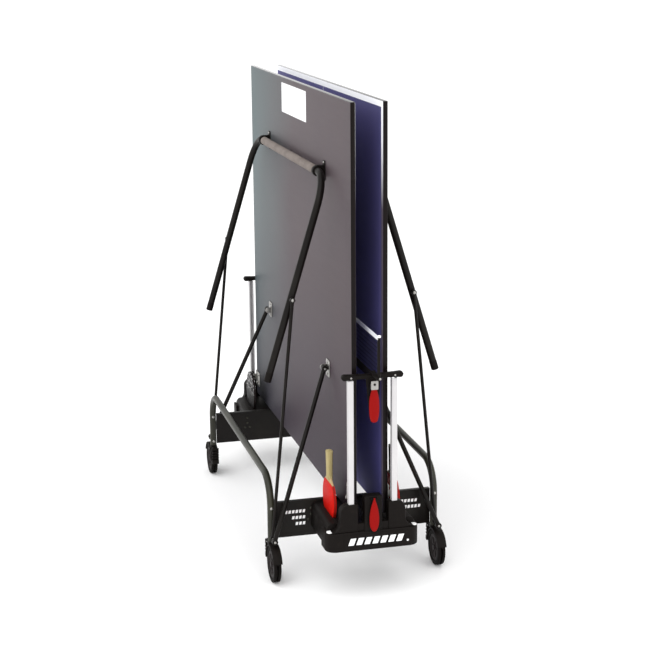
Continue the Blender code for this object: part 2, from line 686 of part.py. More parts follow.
def build():
    clear_scene()
    frame_shape = u_frame()
    board_shape = board()
    leg_shape = leg_frame()
    for word, sign in X_SIDES.items():
        side = (sign, 1)
        add(f"u_frame_{word}", frame_shape, "steel", side)
        add(f"board_{word}", board_shape, "board", side, (PIN_X, 0, PIN_Z))
        add(f"leg_frame_{word}", leg_shape, "steel", side, (LEG_X, 0, LEG_Z))

    end_shapes = {
        "end_plate": (end_plate(), "steel", (0, 0, 0)),
        "end_housing": (end_housing(), "plastic", (0, 0, 0)),
        "top_yoke": (top_yoke(), "plastic", (0, 0, 0)),
        "upper_lever": (release_lever(UPPER_LEVER_Z), "lever", (0, LEVER_Y, UPPER_LEVER_Z)),
        "lower_lever": (release_lever(LOWER_LEVER_Z), "lever", (0, LEVER_Y, LOWER_LEVER_Z)),
    }
    for piece, (shape, kind, origin) in end_shapes.items():
        for word, sign in Y_SIDES.items():
            add(f"{piece}_{word}", shape, kind, (1, sign), origin)
    add("net", net(), "net")

    quarter_shapes = {
        "guide_post": (guide_post(), "aluminium", (0, 0, 0)),
        "guide_bracket": (guide_bracket(), "zinc", (PIN_X, 0, PIN_Z)),
        "slider": (slider(), "plastic", (PIN_X, GUIDE_Y, PIN_Z)),
        "arm_bracket": (arm_bracket(), "zinc", (ARM_TOP_X, ARM_TOP_Y, ARM_TOP_Z)),
        "arm": (arm(), "steel", (ARM_TOP_X, ARM_TOP_Y, ARM_TOP_Z)),
        "strut": (strut(), "steel", (POST_X, STRUT_Y, LOW_PIVOT_Z)),
        "leg_bracket": (leg_bracket(), "plastic", (LEG_X, 0, LEG_Z)),
        "caster_fork": (caster_fork(), "plastic", (POST_X, POST_Y, POST_BOTTOM)),
        "caster_wheel": (caster_wheel(), "tread", (POST_X, WHEEL_Y, WHEEL_RADIUS)),
        "brake_pedal": (brake_pedal(), "plastic", (POST_X, PEDAL_Y, PEDAL_Z)),
    }
    for piece, (shape, kind, origin) in quarter_shapes.items():
        for word, side in QUARTERS:
            add(f"{piece}_{word}", shape, kind, side, origin)

    bat_shape = bat()
    bat_origin = (BAT_X, BAT_Y, BAT_Z)
    add("bat_left_near", bat_shape, "bat", (-1, -1), bat_origin)
    add("bat_right_near", bat_shape, "bat", (1, -1), bat_origin)
    add("bat_cover_left_far", bat_cover(), "cover", (-1, 1), bat_origin)


build()
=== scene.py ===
import json
import math

import bpy
import numpy as np
from mathutils import Matrix, Vector


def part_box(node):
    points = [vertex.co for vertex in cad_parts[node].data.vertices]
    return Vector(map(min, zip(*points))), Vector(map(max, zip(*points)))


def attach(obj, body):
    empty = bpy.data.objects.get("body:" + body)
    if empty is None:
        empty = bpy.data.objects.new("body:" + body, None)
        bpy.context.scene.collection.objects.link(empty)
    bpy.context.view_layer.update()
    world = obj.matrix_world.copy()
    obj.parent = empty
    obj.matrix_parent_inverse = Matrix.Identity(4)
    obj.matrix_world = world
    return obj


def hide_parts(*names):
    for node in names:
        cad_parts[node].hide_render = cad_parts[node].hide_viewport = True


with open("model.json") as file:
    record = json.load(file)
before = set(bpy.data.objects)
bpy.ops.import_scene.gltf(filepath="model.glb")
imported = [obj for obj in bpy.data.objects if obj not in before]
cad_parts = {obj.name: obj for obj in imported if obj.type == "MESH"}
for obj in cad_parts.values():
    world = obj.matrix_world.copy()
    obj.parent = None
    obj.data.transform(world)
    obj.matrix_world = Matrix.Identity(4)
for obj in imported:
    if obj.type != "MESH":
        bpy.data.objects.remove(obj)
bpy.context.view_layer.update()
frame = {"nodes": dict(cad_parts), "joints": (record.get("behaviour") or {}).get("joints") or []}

print("table: frame loaded,", len(frame["nodes"]), "nodes")

pivot = {joint["name"]: np.array(joint["pos_m"]) for joint in frame["joints"] if "pos_m" in joint}
leftRight = {"left": -1, "right": 1}
nearFar = {"near": -1, "far": 1}
corners = {x + "_" + y: (leftRight[x], nearFar[y]) for x in leftRight for y in nearFar}


# ---- shapes: each returns (points, faces), closed, worked out as whole arrays

def circle(radius, count=32):
    # a circle's points: radius times cosine and sine of evenly spaced angles
    turn = np.arange(count) * 2 * np.pi / count
    return radius * np.stack([np.cos(turn), np.sin(turn)], 1)


def superEllipse(halfWidth, halfHeight, power, count=32):
    # cosine and sine raised to 2/power, with their signs kept: 2 gives an ellipse, more a soft box
    turn = (np.arange(count) + 0.5) * 2 * np.pi / count
    c, s = np.cos(turn), np.sin(turn)
    across = halfWidth * np.sign(c) * np.abs(c) ** (2 / power)
    upward = halfHeight * np.sign(s) * np.abs(s) ** (2 / power)
    return np.stack([across, upward], 1)


def arc(centre, radius, start, end, count=8):
    # points on a circle between two angles in degrees
    turn = np.radians(np.linspace(start, end, count + 1))
    return np.stack([centre[0] + radius * np.cos(turn), centre[1] + radius * np.sin(turn)], 1)


def roundedOutline(points, radius, count=4):
    # each corner is swapped for a quadratic curve between the points a radius before and after it
    points = np.array(points, float)
    before, after = np.roll(points, 1, 0) - points, np.roll(points, -1, 0) - points
    reach = np.minimum(radius, 0.45 * np.minimum(np.linalg.norm(before, axis=1),
                                                 np.linalg.norm(after, axis=1)))
    first = points + before / np.linalg.norm(before, axis=1)[:, None] * reach[:, None]
    last = points + after / np.linalg.norm(after, axis=1)[:, None] * reach[:, None]
    t = np.linspace(0, 1, count + 1)[None, :, None]
    curve = (1 - t) ** 2 * first[:, None] + 2 * t * (1 - t) * points[:, None] + t**2 * last[:, None]
    return curve.reshape(-1, 2)


def mirroredOutline(half):
    # the half with x above 0, followed by its mirror image in reverse
    half = np.array(half, float)
    return np.concatenate([half, half[::-1] * (-1, 1)])


def loft(rings, wrap=False):
    # rings is (n, m, 3): neighbouring rings are joined by quads, and the two end rings are closed
    # with one flat face each, or joined to each other where wrap is set
    rings = np.asarray(rings, float)
    n, m = rings.shape[:2]
    i, k = np.meshgrid(np.arange(n if wrap else n - 1), np.arange(m), indexing="ij")
    a = i * m + k
    b = i * m + (k + 1) % m
    c = (i + 1) % n * m + (k + 1) % m
    d = (i + 1) % n * m + k
    faces = np.stack([a, b, c, d], -1).reshape(-1, 4).tolist()
    if not wrap:
        faces += [np.arange(m)[::-1].tolist(), (np.arange(m) + (n - 1) * m).tolist()]
    return rings.reshape(-1, 3), faces


def onAxis(flat, along, axis):
    # puts 2-D points in the plane across an axis, at a distance along it
    place = {"X": (1, 2, 0), "Y": (0, 2, 1), "Z": (0, 1, 2)}[axis]
    points = np.empty(flat.shape[:-1] + (3,))
    points[..., place[0]] = flat[..., 0]
    points[..., place[1]] = flat[..., 1]
    points[..., place[2]] = along
    return points


def inset(outline, distance):
    # every point moves in along the mean of its two sides' normals, by distance over the cosine
    # of half the corner's turn
    before = outline - np.roll(outline, 1, 0)
    after = np.roll(outline, -1, 0) - outline
    normal = [side[:, ::-1] * (1, -1) / np.maximum(np.linalg.norm(side, axis=1), 1e-12)[:, None]
              for side in (before, after)]
    mean = (normal[0] + normal[1]) / np.maximum(1 + (normal[0] * normal[1]).sum(1), 0.3)[:, None]
    area = (outline[:, 0] * np.roll(outline[:, 1], -1) - outline[:, 1] * np.roll(outline[:, 0], -1)).sum()
    return outline - mean * distance * np.sign(area)


def slab(outline, axis, low, high, edge=0.001, steps=3):
    # an outline carried along an axis, with both rims turned on a quarter circle of radius edge
    outline = np.array(outline, float)
    turn = np.linspace(0, np.pi / 2, steps + 1)
    cut = edge * (1 - np.sin(turn))
    rise = edge * (1 - np.cos(turn))
    below = [(c, low + r) for c, r in zip(cut, rise)]
    above = [(c, high - r) for c, r in zip(cut[::-1], rise[::-1])]
    return loft([onAxis(inset(outline, c), level, axis) for c, level in below + above])


def box(low, high, edge=0.001, axis="Z"):
    spots = {"X": (1, 2, 0), "Y": (0, 2, 1), "Z": (0, 1, 2)}[axis]
    a, b, c = spots
    outline = [(low[a], low[b]), (high[a], low[b]), (high[a], high[b]), (low[a], high[b])]
    return slab(roundedOutline(outline, edge, 2), axis, low[c], high[c], edge, 2)


def carried(path, profile, across):
    # a closed 2-D profile carried along a path that lies in one plane: at each point the profile
    # stands on the plane's normal and on the cross product of the path's direction with it
    path = np.array(path, float)
    across = np.array(across, float) / np.linalg.norm(across)
    ahead = np.gradient(path, axis=0)
    ahead /= np.linalg.norm(ahead, axis=1)[:, None]
    up = np.cross(ahead, across)
    rings = path[:, None] + profile[None, :, :1] * across + profile[None, :, 1:] * up[:, None]
    return loft(rings)


def bar(start, end, radius, rim=0.0008, count=28):
    # a round bar between two points, its end rims turned in on a small quarter circle
    start, end = np.array(start, float), np.array(end, float)
    ahead = (end - start) / np.linalg.norm(end - start)
    helper = np.array((1, 0, 0)) if abs(ahead[0]) < 0.7 else np.array((0, 1, 0))
    across = np.cross(ahead, helper)
    across /= np.linalg.norm(across)
    up = np.cross(ahead, across)
    turn = np.linspace(0, np.pi / 2, 4)
    length = np.linalg.norm(end - start)
    along = np.concatenate([rim * (1 - np.cos(turn)), length - rim * (1 - np.cos(turn[::-1]))])
    size = np.concatenate([radius - rim * (1 - np.sin(turn)), radius - rim * (1 - np.sin(turn[::-1]))])
    ring = circle(1, count)
    flat = size[:, None, None] * (ring[None, :, :1] * across + ring[None, :, 1:] * up)
    return loft(start + along[:, None, None] * ahead + flat)


def turned(axis, centre, profile, count=48, wrap=False):
    # (distance along the axis, radius) points turned about the axis through centre
    profile = np.array(profile, float)
    ring = circle(1, count)
    flat = profile[:, 1, None, None] * ring[None] + np.array(centre)
    points = onAxis(flat, profile[:, :1], axis)
    return loft(points, wrap)


def boltHead(place, out, radius=0.006, height=0.004):
    # a low domed screw head: radius falls with the height as on an ellipse
    place, out = np.array(place, float), np.array(out, float)
    turn = np.linspace(0, 1.35, 6)
    helper = np.array((0, 0, 1)) if abs(out[2]) < 0.7 else np.array((1, 0, 0))
    across = np.cross(out, helper)
    up = np.cross(out, across)
    ring = circle(1, 18)
    size = radius * np.cos(turn)
    rise = height * np.sin(turn)
    rings = place + rise[:, None, None] * out + size[:, None, None] * (
        ring[None, :, :1] * across + ring[None, :, 1:] * up)
    return loft(np.concatenate([rings[:1] - 0.0005 * out, rings]))


def together(*shells):
    # several closed shells as one mesh: the faces' numbers go on from shell to shell
    points, faces, start = [], [], 0
    for shellPoints, shellFaces in shells:
        points.append(shellPoints)
        faces += [[i + start for i in face] for face in shellFaces]
        start += len(shellPoints)
    return np.concatenate(points), faces


def signedVolume(points, faces):
    # each face is a fan of triangles, whose volumes with the origin add up to six times the solid's
    total = 0.0
    sizes = {len(face) for face in faces}
    for size in sizes:
        group = points[np.array([face for face in faces if len(face) == size])]
        first = np.repeat(group[:, :1], size - 2, 1)
        total += np.einsum("ijk,ijk->", first, np.cross(group[:, 1:-1], group[:, 2:]))
    return total


def put(name, shells, finish, body, replaces=(), side=(1, 1), smooth=38):
    # makes the piece: mirrors it into its side, turns each shell's faces out, and lets it ride
    if not isinstance(shells, list):
        shells = [shells]
    ready = []
    for points, faces in shells:
        points = points * (side[0], side[1], 1)
        if signedVolume(points - points.mean(0), faces) < 0:
            faces = [face[::-1] for face in faces]
        ready.append((points, faces))
    points, faces = together(*ready)
    mesh = bpy.data.meshes.new(name)
    mesh.from_pydata(points.tolist(), [], faces)
    mesh.update()
    mesh.shade_smooth()
    mesh.set_sharp_from_angle(angle=math.radians(smooth))
    mesh.materials.append(finish)
    piece = bpy.data.objects.new(name, mesh)
    bpy.context.scene.collection.objects.link(piece)
    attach(piece, body)
    if replaces:
        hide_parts(*replaces)
    return piece


# ---- finishes

class Field:
    # a number that changes over a surface; arithmetic on it adds Math nodes
    def __init__(self, finish, socket):
        self.finish, self.socket = finish, socket

    def math(self, operation, *values):
        sockets = [value.socket if isinstance(value, Field) else value for value in values]
        node = self.finish.node("ShaderNodeMath", {"operation": operation}, dict(enumerate(sockets)))
        return Field(self.finish, node.outputs[0])

    def __add__(self, other): return self.math("ADD", self, other)
    def __radd__(self, other): return self.math("ADD", other, self)
    def __sub__(self, other): return self.math("SUBTRACT", self, other)
    def __rsub__(self, other): return self.math("SUBTRACT", other, self)
    def __mul__(self, other): return self.math("MULTIPLY", self, other)
    def __rmul__(self, other): return self.math("MULTIPLY", other, self)
    def __truediv__(self, other): return self.math("DIVIDE", self, other)
    def __pow__(self, other): return self.math("POWER", self, other)
    def __gt__(self, other): return self.math("GREATER_THAN", self, other)
    def __lt__(self, other): return self.math("LESS_THAN", self, other)
    def __abs__(self): return self.math("ABSOLUTE", self)
    def max(self, other): return self.math("MAXIMUM", self, other)
    def min(self, other): return self.math("MINIMUM", self, other)
    def wave(self): return self.math("SINE", self)
    def clamp(self): return self.max(0.0).min(1.0)

    def ramp(self, low, high):
        # 0 below low, 1 above high, straight between
        return ((self - low) / (high - low)).clamp()


def linear(rgb):
    # screen colour 0 to 255 as light
    c = np.array(rgb, float) / 255
    return tuple(np.where(c <= 0.04045, c / 12.92, ((c + 0.055) / 1.055) ** 2.4)) + (1.0,)


class Finish:
    def __init__(self, name, **constants):
        self.material = bpy.data.materials.new(name)
        self.material.use_nodes = True
        self.nodes = self.material.node_tree.nodes
        self.links = self.material.node_tree.links
        self.shader = self.nodes["Principled BSDF"]
        for socket, value in constants.items():
            self.shader.inputs[socket.replace("_", " ")].default_value = value
        self.place = self.node("ShaderNodeTexCoord").outputs["Object"]

    def node(self, kind, settings=None, inputs=None):
        node = self.nodes.new(kind)
        for key, value in (settings or {}).items():
            if key == "stops":
                ramp = node.color_ramp
                for spot, (position, colour) in enumerate(value):
                    stop = ramp.elements[spot] if spot < 2 else ramp.elements.new(position)
                    stop.position, stop.color = position, colour
            else:
                setattr(node, key, value)
        for key, value in (inputs or {}).items():
            if isinstance(value, Field):
                value = value.socket
            if isinstance(value, bpy.types.NodeSocket):
                self.links.new(value, node.inputs[key])
            else:
                node.inputs[key].default_value = value
        return node

    def axes(self):
        split = self.node("ShaderNodeSeparateXYZ", None, {0: self.place})
        return [Field(self, split.outputs[i]) for i in range(3)]

    def stretched(self, scale):
        return self.node("ShaderNodeMapping", None, {"Vector": self.place, "Scale": scale}).outputs[0]

    def noise(self, scale, detail=4.0, roughness=0.55, vector=None):
        node = self.node("ShaderNodeTexNoise", None, {
            "Vector": vector or self.place, "Scale": scale, "Detail": detail, "Roughness": roughness})
        return Field(self, node.outputs[0])

    def cells(self, scale, vector=None):
        node = self.node("ShaderNodeTexVoronoi", None, {"Vector": vector or self.place, "Scale": scale})
        return Field(self, node.outputs["Distance"])

    def mix(self, factor, first, second):
        node = self.node("ShaderNodeMix", {"data_type": "RGBA"}, {0: factor, 6: first, 7: second})
        return node.outputs[2]

    def set(self, socket, value):
        self.links.new(value.socket if isinstance(value, Field) else value, self.shader.inputs[socket])

    def bump(self, height, distance, strength=1.0):
        node = self.node("ShaderNodeBump", None, {
            "Height": height, "Distance": distance, "Strength": strength})
        self.links.new(node.outputs[0], self.shader.inputs["Normal"])


# the underside's far tint and low tint, the playing face's lighter blue and the grey side line colour are painted
# light and shade
boardValues = dict(
    underside=(83, 73, 76), undersideDark=(73, 64, 69), farTint=(86, 99, 101),
    fibre=(96, 87, 90), lowTint=(46, 36, 48), lowShade=0.75,
    edge=(17, 12, 12), edgeMiddle=0.0529, edgeHalf=0.0066,
    playBlue=(66, 63, 104), playBlueLight=(74, 71, 114), playBlueDeep=(86, 84, 142),
    lineWhite=(252, 253, 255), sideLine=(84, 76, 88), lineWidth=0.020, centreLine=0.003, paintDepth=0.0005, rim=0.0012)
boardLow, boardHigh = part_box("board_right")


def undersideFinish():
    f = Finish("undersideCoat", Specular_IOR_Level=0.12)
    x, y, z = f.axes()
    mottle = f.noise(2.2, 3.0)
    grain = f.noise(420.0, 2.0)
    fibre = f.noise(60.0, 3.0, 0.6, f.stretched((1, 0.12, 1)))
    coat = f.mix(mottle.ramp(0.3, 0.7), linear(boardValues["undersideDark"]),
                 linear(boardValues["underside"]))
    coat = f.mix(fibre.ramp(0.35, 0.75) * 0.15, coat, linear(boardValues["fibre"]))
    # painted light and shade: the coat takes a cool tint towards the far side, a painted reflection of cool light, and
    # darkens towards the foot, painted shade
    coat = f.mix((y + mottle * 0.4).ramp(0.25, 0.95), coat, linear(boardValues["farTint"]))
    coat = f.mix(z.ramp(1.1, 0.35) * boardValues["lowShade"], coat, linear(boardValues["lowTint"]))
    reachY = boardHigh.y - 0.0016
    topZ, lowZ = boardHigh.z - 0.0016, boardLow.z + 0.0016
    band = (abs(y) > reachY).max(z > topZ).max(z < lowZ)
    band = band.max(abs(abs(x) - boardValues["edgeMiddle"]) < boardValues["edgeHalf"])
    f.set("Base Color", f.mix(band, coat, linear(boardValues["edge"])))
    f.set("Roughness", 0.42 + mottle * 0.12 - band * 0.2)
    f.set("Coat Weight", z > topZ)
    f.bump(grain * 0.6 + fibre * 0.4, 0.00012)
    return f.material


def playFinish():
    f = Finish("playPaint", Specular_IOR_Level=0.15)
    y, z = f.axes()[1:]
    line = boardValues["lineWidth"]
    sides = (abs(y) > boardHigh.y - line).max(abs(y) < boardValues["centreLine"] / 2)
    sheen = f.noise(1.6, 3.0)
    speck = f.noise(900.0, 2.0)
    blue = f.mix(sheen, linear(boardValues["playBlue"]), linear(boardValues["playBlueLight"]))
    # painted light: the blue turns lighter towards the far end and towards the foot, where the boards' shade falls
    # deepest
    paintedLightShare = (y.ramp(-0.76, 0.2) * 0.6 + z.ramp(1.2, 0.5) * 0.7).ramp(0, 1)
    blue = f.mix(paintedLightShare, blue, linear(boardValues["playBlueDeep"]))
    # painted shade: the side lines are grey below 1.30 m and turn white by 1.52 m
    sideLine = f.mix(z.ramp(1.30, 1.52), linear(boardValues["sideLine"]), linear(boardValues["lineWhite"]))
    lined = f.mix(sides, blue, sideLine)
    f.set("Base Color", f.mix(z > boardHigh.z - line, lined, linear(boardValues["lineWhite"])))
    f.set("Roughness", 0.55 + speck * 0.15)
    f.bump(speck, 0.00008)
    return f.material


def powderFinish(name, colour, light, level=0.14, coat=0.03):
    # black powder coat: a fine orange peel, with the coat a little thinner and lighter in patches
    f = Finish(name, Specular_IOR_Level=level, Coat_Roughness=0.16)
    peel = f.noise(260.0, 3.0)
    patch = f.noise(9.0, 4.0)
    f.set("Base Color", f.mix(patch.ramp(0.45, 0.8), linear(colour), linear(light)))
    f.set("Roughness", 0.30 + peel * 0.18)
    f.set("Coat Weight", patch * coat)
    f.bump(peel, 0.00010)
    return f.material


def grainedPlastic(name, colour, light, roughness=0.48, grain=700.0, depth=0.00012, level=0.10):
    # moulded plastic: a leather-like grain of small cells, and paler scuffs
    f = Finish(name, Specular_IOR_Level=level)
    cell = f.cells(grain)
    scuff = f.noise(34.0, 6.0, 0.65)
    f.set("Base Color", f.mix(scuff.ramp(0.55, 0.8) * 0.5, linear(colour), linear(light)))
    f.set("Roughness", roughness + scuff * 0.12)
    f.bump(cell, depth)
    return f.material


def metalFinish(name, colour, roughness, brushed=(1, 1, 1), metallic=1.0):
    # drawn or plated metal: streaks along its length change its gloss and its shade a little
    f = Finish(name, Metallic=metallic, Specular_IOR_Level=0.3)
    streak = f.noise(90.0, 4.0, 0.6, f.stretched(brushed))
    cloud = f.noise(14.0, 3.0)
    dark = tuple(0.86 * c for c in linear(colour)[:3]) + (1.0,)
    f.set("Base Color", f.mix((streak * 0.6 + cloud * 0.4).ramp(0.3, 0.7), dark, linear(colour)))
    f.set("Roughness", roughness + streak * 0.14)
    f.bump(streak, 0.00005)
    return f.material


def meshFinish():
    # knotless net: two sets of threads crossing, and the alpha is 1 on a thread and 0 between
    f = Finish("netMesh", Roughness=0.85, Specular_IOR_Level=0.1)
    y, z = f.axes()[1:]
    pitch, thread = netValues["pitch"], netValues["thread"]
    turn = 2 * math.pi / pitch
    half = math.cos(math.pi * thread / pitch)
    upright = (y * turn).wave() > half
    level = (z * turn).wave() > half
    f.set("Alpha", upright.max(level))
    twist = f.noise(1500.0, 2.0)
    f.set("Base Color", f.mix(twist, linear((26, 26, 34)), linear((44, 44, 56))))
    f.bump(twist, 0.0002)
    return f.material


def tapeFinish(name, colour, light, weave=2600.0):
    # woven tape: two fine sine waves across each other make the weave
    f = Finish(name, Specular_IOR_Level=0.15)
    y, z = f.axes()[1:]
    threads = (y * weave).wave() * (z * weave).wave()
    wear = f.noise(25.0, 4.0)
    f.set("Base Color", f.mix((threads * 0.5 + 0.5) * 0.35 + wear * 0.3, linear(colour), linear(light)))
    f.set("Roughness", 0.75 + wear * 0.15)
    f.bump(threads, 0.0002)
    return f.material


def rubberSheet(name, colour, light, highlightStrength=0.0):
    # bat rubber: rows of low pimples under a thin sheet; where a highlight strength is given, pale bands on the
    # sheet's wrinkles up high are painted highlights
    f = Finish(name, Specular_IOR_Level=0.10)
    y, z = f.axes()[1:]
    dots = (y * 2400.0).wave() * (z * 2400.0).wave()
    dust = f.noise(110.0, 6.0, 0.7)
    cloud = f.noise(12.0, 3.0)
    base = f.mix(cloud, linear(colour), linear(light))
    if highlightStrength:
        # painted highlights on wrinkles: thin pale bands where a stretched noise crosses its middle, over the upper
        # half
        wrinkleHighlight = abs(f.noise(42.0, 3.0, 0.6, f.stretched((1, 1.6, 0.8))) - 0.5).ramp(0.022, 0.008)
        base = f.mix(wrinkleHighlight * z.ramp(0.305, 0.345) * highlightStrength, base, linear((236, 234, 234)))
    f.set("Base Color", base)
    f.set("Roughness", 0.45 + cloud * 0.2)
    f.bump(dots * 0.5 + dust * 0.5, 0.00025)
    return f.material


def edgeFinish(name, tape, rise=0.060):
    # a blade's edge: tape round the blade, and bare ply above it at the throat
    f = Finish(name, Specular_IOR_Level=0.2)
    z = f.axes()[2]
    plies = f.noise(1400.0, 2.0, 0.5, f.stretched((1, 0.05, 0.05)))
    wear = f.noise(160.0, 4.0)
    throat = z > batValues["middle"] + rise
    wood = f.mix(plies, linear((206, 182, 140)), linear((168, 136, 92)))
    band = f.mix(wear.ramp(0.45, 0.8) * 0.4, linear(tape), linear((90, 60, 52)))
    f.set("Base Color", f.mix(throat, band, wood))
    f.set("Roughness", 0.5 + wear * 0.15)
    f.bump(plies, 0.0001)
    return f.material


def woodFinish(name, pale, dark, along=(1, 1, 0.06)):
    # wood: noise stretched along the grain, and finer darker pores on top of it
    f = Finish(name, Specular_IOR_Level=0.3)
    grain = f.noise(130.0, 5.0, 0.6, f.stretched(along))
    pores = f.noise(700.0, 3.0, 0.6, f.stretched(along))
    colour = f.mix(grain.ramp(0.35, 0.7), linear(pale), linear(dark))
    f.set("Base Color", f.mix(pores.ramp(0.6, 0.75) * 0.35, colour, linear((120, 96, 60))))
    f.set("Roughness", 0.5 + grain * 0.15)
    f.bump(pores, 0.0001)
    return f.material


def foamFinish():
    # foam sleeve: closed cells, greyed where hands and straps rub it
    f = Finish("sleeveFoam", Specular_IOR_Level=0.2)
    cell = f.cells(900.0)
    rub = f.noise(18.0, 5.0)
    f.set("Base Color", f.mix(rub.ramp(0.3, 0.75), linear((112, 103, 98)), linear((134, 125, 119))))
    f.set("Roughness", 0.72 + rub * 0.15)
    f.bump(cell, 0.0003)
    return f.material


def paperFinish():
    # label card: faint fibres, and a thin grey rule inside its rim
    f = Finish("labelCard", Specular_IOR_Level=0.3)
    y, z = f.axes()[1:]
    fibre = f.noise(500.0, 3.0)
    offY = abs(abs(y - labelValues["middleY"]) - (labelValues["width"] / 2 - 0.007)) < 0.0008
    offZ = abs(abs(z - labelValues["middleZ"]) - (labelValues["height"] / 2 - 0.007)) < 0.0008
    white = f.mix(fibre, linear((240, 240, 242)), linear((250, 250, 252)))
    f.set("Base Color", f.mix(offY.max(offZ) * 0.5, white, linear((190, 190, 196))))
    f.set("Roughness", 0.5 + fibre * 0.1)
    f.bump(fibre, 0.00005)
    return f.material


def printFinish():
    # white screen print with a slightly uneven edge to edge cover
    f = Finish("whitePrint", Specular_IOR_Level=0.3)
    cover = f.noise(140.0, 4.0)
    f.set("Base Color", f.mix(cover, linear((236, 236, 236)), linear((252, 252, 252))))
    f.set("Roughness", 0.5 + cover * 0.1)
    return f.material


netValues = dict(pitch=0.014, thread=0.0011, tapeHeight=0.015, halfThick=0.0007, endY=0.862, darkTop=0.776)
batValues = dict(ply=0.0029, sheet=0.0019, halfWidth=0.075, halfHeight=0.0785, handleTop=0.173, middle=0.303)
labelValues = dict(middleY=0.018, middleZ=1.571, width=0.380, height=0.108, thick=0.0004)

undersideCoat = undersideFinish()
playPaint = playFinish()
powderBlack = powderFinish("powderBlack", (17, 14, 12), (27, 24, 20))
# a paler, olive copy of the black powder coat, for the side frames and the plate rivets: a painted highlight standing
# in for the light the black tubes catch
frameBlack = powderFinish("frameBlack", (36, 36, 26), (58, 57, 44), 0.30, 0.12)
blackPlastic = grainedPlastic("blackPlastic", (17, 13, 11), (33, 27, 24))
hubPlastic = grainedPlastic("hubPlastic", (28, 21, 21), (44, 35, 35), 0.42)
treadRubber = grainedPlastic("treadRubber", (17, 14, 13), (32, 26, 25), 0.62, 420.0, 0.0002, 0.06)
leverRed = grainedPlastic("leverRed", (138, 10, 8), (164, 18, 14), 0.34, 900.0, 0.00006, 0.08)
postMetal = metalFinish("postAluminium", (208, 206, 207), 0.34, (6, 6, 0.05), 0.15)
zincPlate = metalFinish("zincPlate", (170, 168, 164), 0.30)
netMesh = meshFinish()
whiteTape = tapeFinish("whiteTape", (222, 224, 230), (250, 250, 252))
darkTape = tapeFinish("darkTape", (18, 14, 17), (32, 28, 33))
sleeveFoam = foamFinish()
batRed = rubberSheet("batRed", (198, 12, 2), (210, 20, 4))
coverFilm = rubberSheet("coverFilm", (17, 14, 14), (30, 27, 28), 1.0)
batEdge = edgeFinish("batEdge", (150, 22, 14))
coverEdge = edgeFinish("coverEdge", (18, 15, 15), 9.0)
handleWood = woodFinish("handleWood", (184, 168, 122), (150, 136, 84))
# a near-black copy of the handle wood: painted shade for the right bat's handle, which sits in shade
darkGrip = woodFinish("darkGrip", (34, 26, 22), (22, 16, 14))
labelCard = paperFinish()
whitePrint = printFinish()
print("table: finishes ready")


# ---- playing halves

def makeBoards():
    v = boardValues
    low, high = boardLow, boardHigh
    for word, sign in leftRight.items():
        side = (sign, 1)
        outline = [(low.y, low.z), (high.y, low.z), (high.y, high.z), (low.y, high.z)]
        outline = roundedOutline(outline, 0.004, 3)
        core = slab(outline, "X", low.x + v["paintDepth"], high.x, v["rim"])
        put("board_" + word + "_core", core, undersideCoat, "half_" + word,
            ["board_" + word], side)
        paint = slab(inset(outline, v["rim"]), "X", low.x, low.x + v["paintDepth"] + 0.0002, 0.0002, 2)
        put("board_" + word + "_playing_face", paint, playPaint, "half_" + word, (), side)


def makeLabel():
    v = labelValues
    y0, y1 = v["middleY"] - v["width"] / 2, v["middleY"] + v["width"] / 2
    z0, z1 = v["middleZ"] - v["height"] / 2, v["middleZ"] + v["height"] / 2
    outline = roundedOutline([(y0, z0), (y1, z0), (y1, z1), (y0, z1)], 0.004, 3)
    card = slab(outline, "X", -boardHigh.x - v["thick"], -boardHigh.x + 0.0002, 0.0001, 1)
    put("blank_label", card, labelCard, "half_left")


# ---- side frames

frameValues = dict(tubeRadius=0.0125, bendRadius=0.100, barZ=0.352, screwZ=0.252)
postX, postY, postFoot = pivot["caster_right_far_swivel"]
lowPivot = pivot["struts_right_fold"]


def makeSideFrames():
    v = frameValues
    middleY, middleZ = postY - v["bendRadius"], v["barZ"] - v["bendRadius"]
    bend = arc((middleY, middleZ), v["bendRadius"], 0, 90, 14)
    half = np.concatenate([[(postY, postFoot)], bend, [(middleY * 0.5, v["barZ"])]])
    path2 = np.concatenate([half, half[::-1] * (-1, 1)])
    path = np.stack([np.full(len(path2), postX), path2[:, 0], path2[:, 1]], 1)
    for word, sign in leftRight.items():
        shells = [carried(path, circle(v["tubeRadius"], 32), (1, 0, 0))]
        put("side_frame_" + word, shells, frameBlack, "base", ["u_frame_" + word], (sign, 1))
        screws = []
        for end in (-1, 1):
            face = end * (postY + v["tubeRadius"] - 0.0004)
            screws.append(boltHead((postX, face, v["screwZ"]), (0, end, 0), 0.0055, 0.0034))
            face = end * (postY - v["tubeRadius"] + 0.0004)
            screws += [boltHead((postX, face, z), (0, -end, 0), 0.0055, 0.0034)
                       for z in (v["screwZ"], lowPivot[2])]
            start, stop = end * (postY + v["tubeRadius"] - 0.002), end * (0.5755)
            screws.append(bar((postX, start, lowPivot[2]), (postX, stop, lowPivot[2]), 0.0048))
        put("side_frame_" + word + "_screws", screws, zincPlate, "base", (), (sign, 1))


plateValues = dict(sheet=0.003, lip=0.018,
                   screwSpots=((0.150, 0.236), (0.150, 0.214), (0.140, 0.196), (0.160, 0.196)))


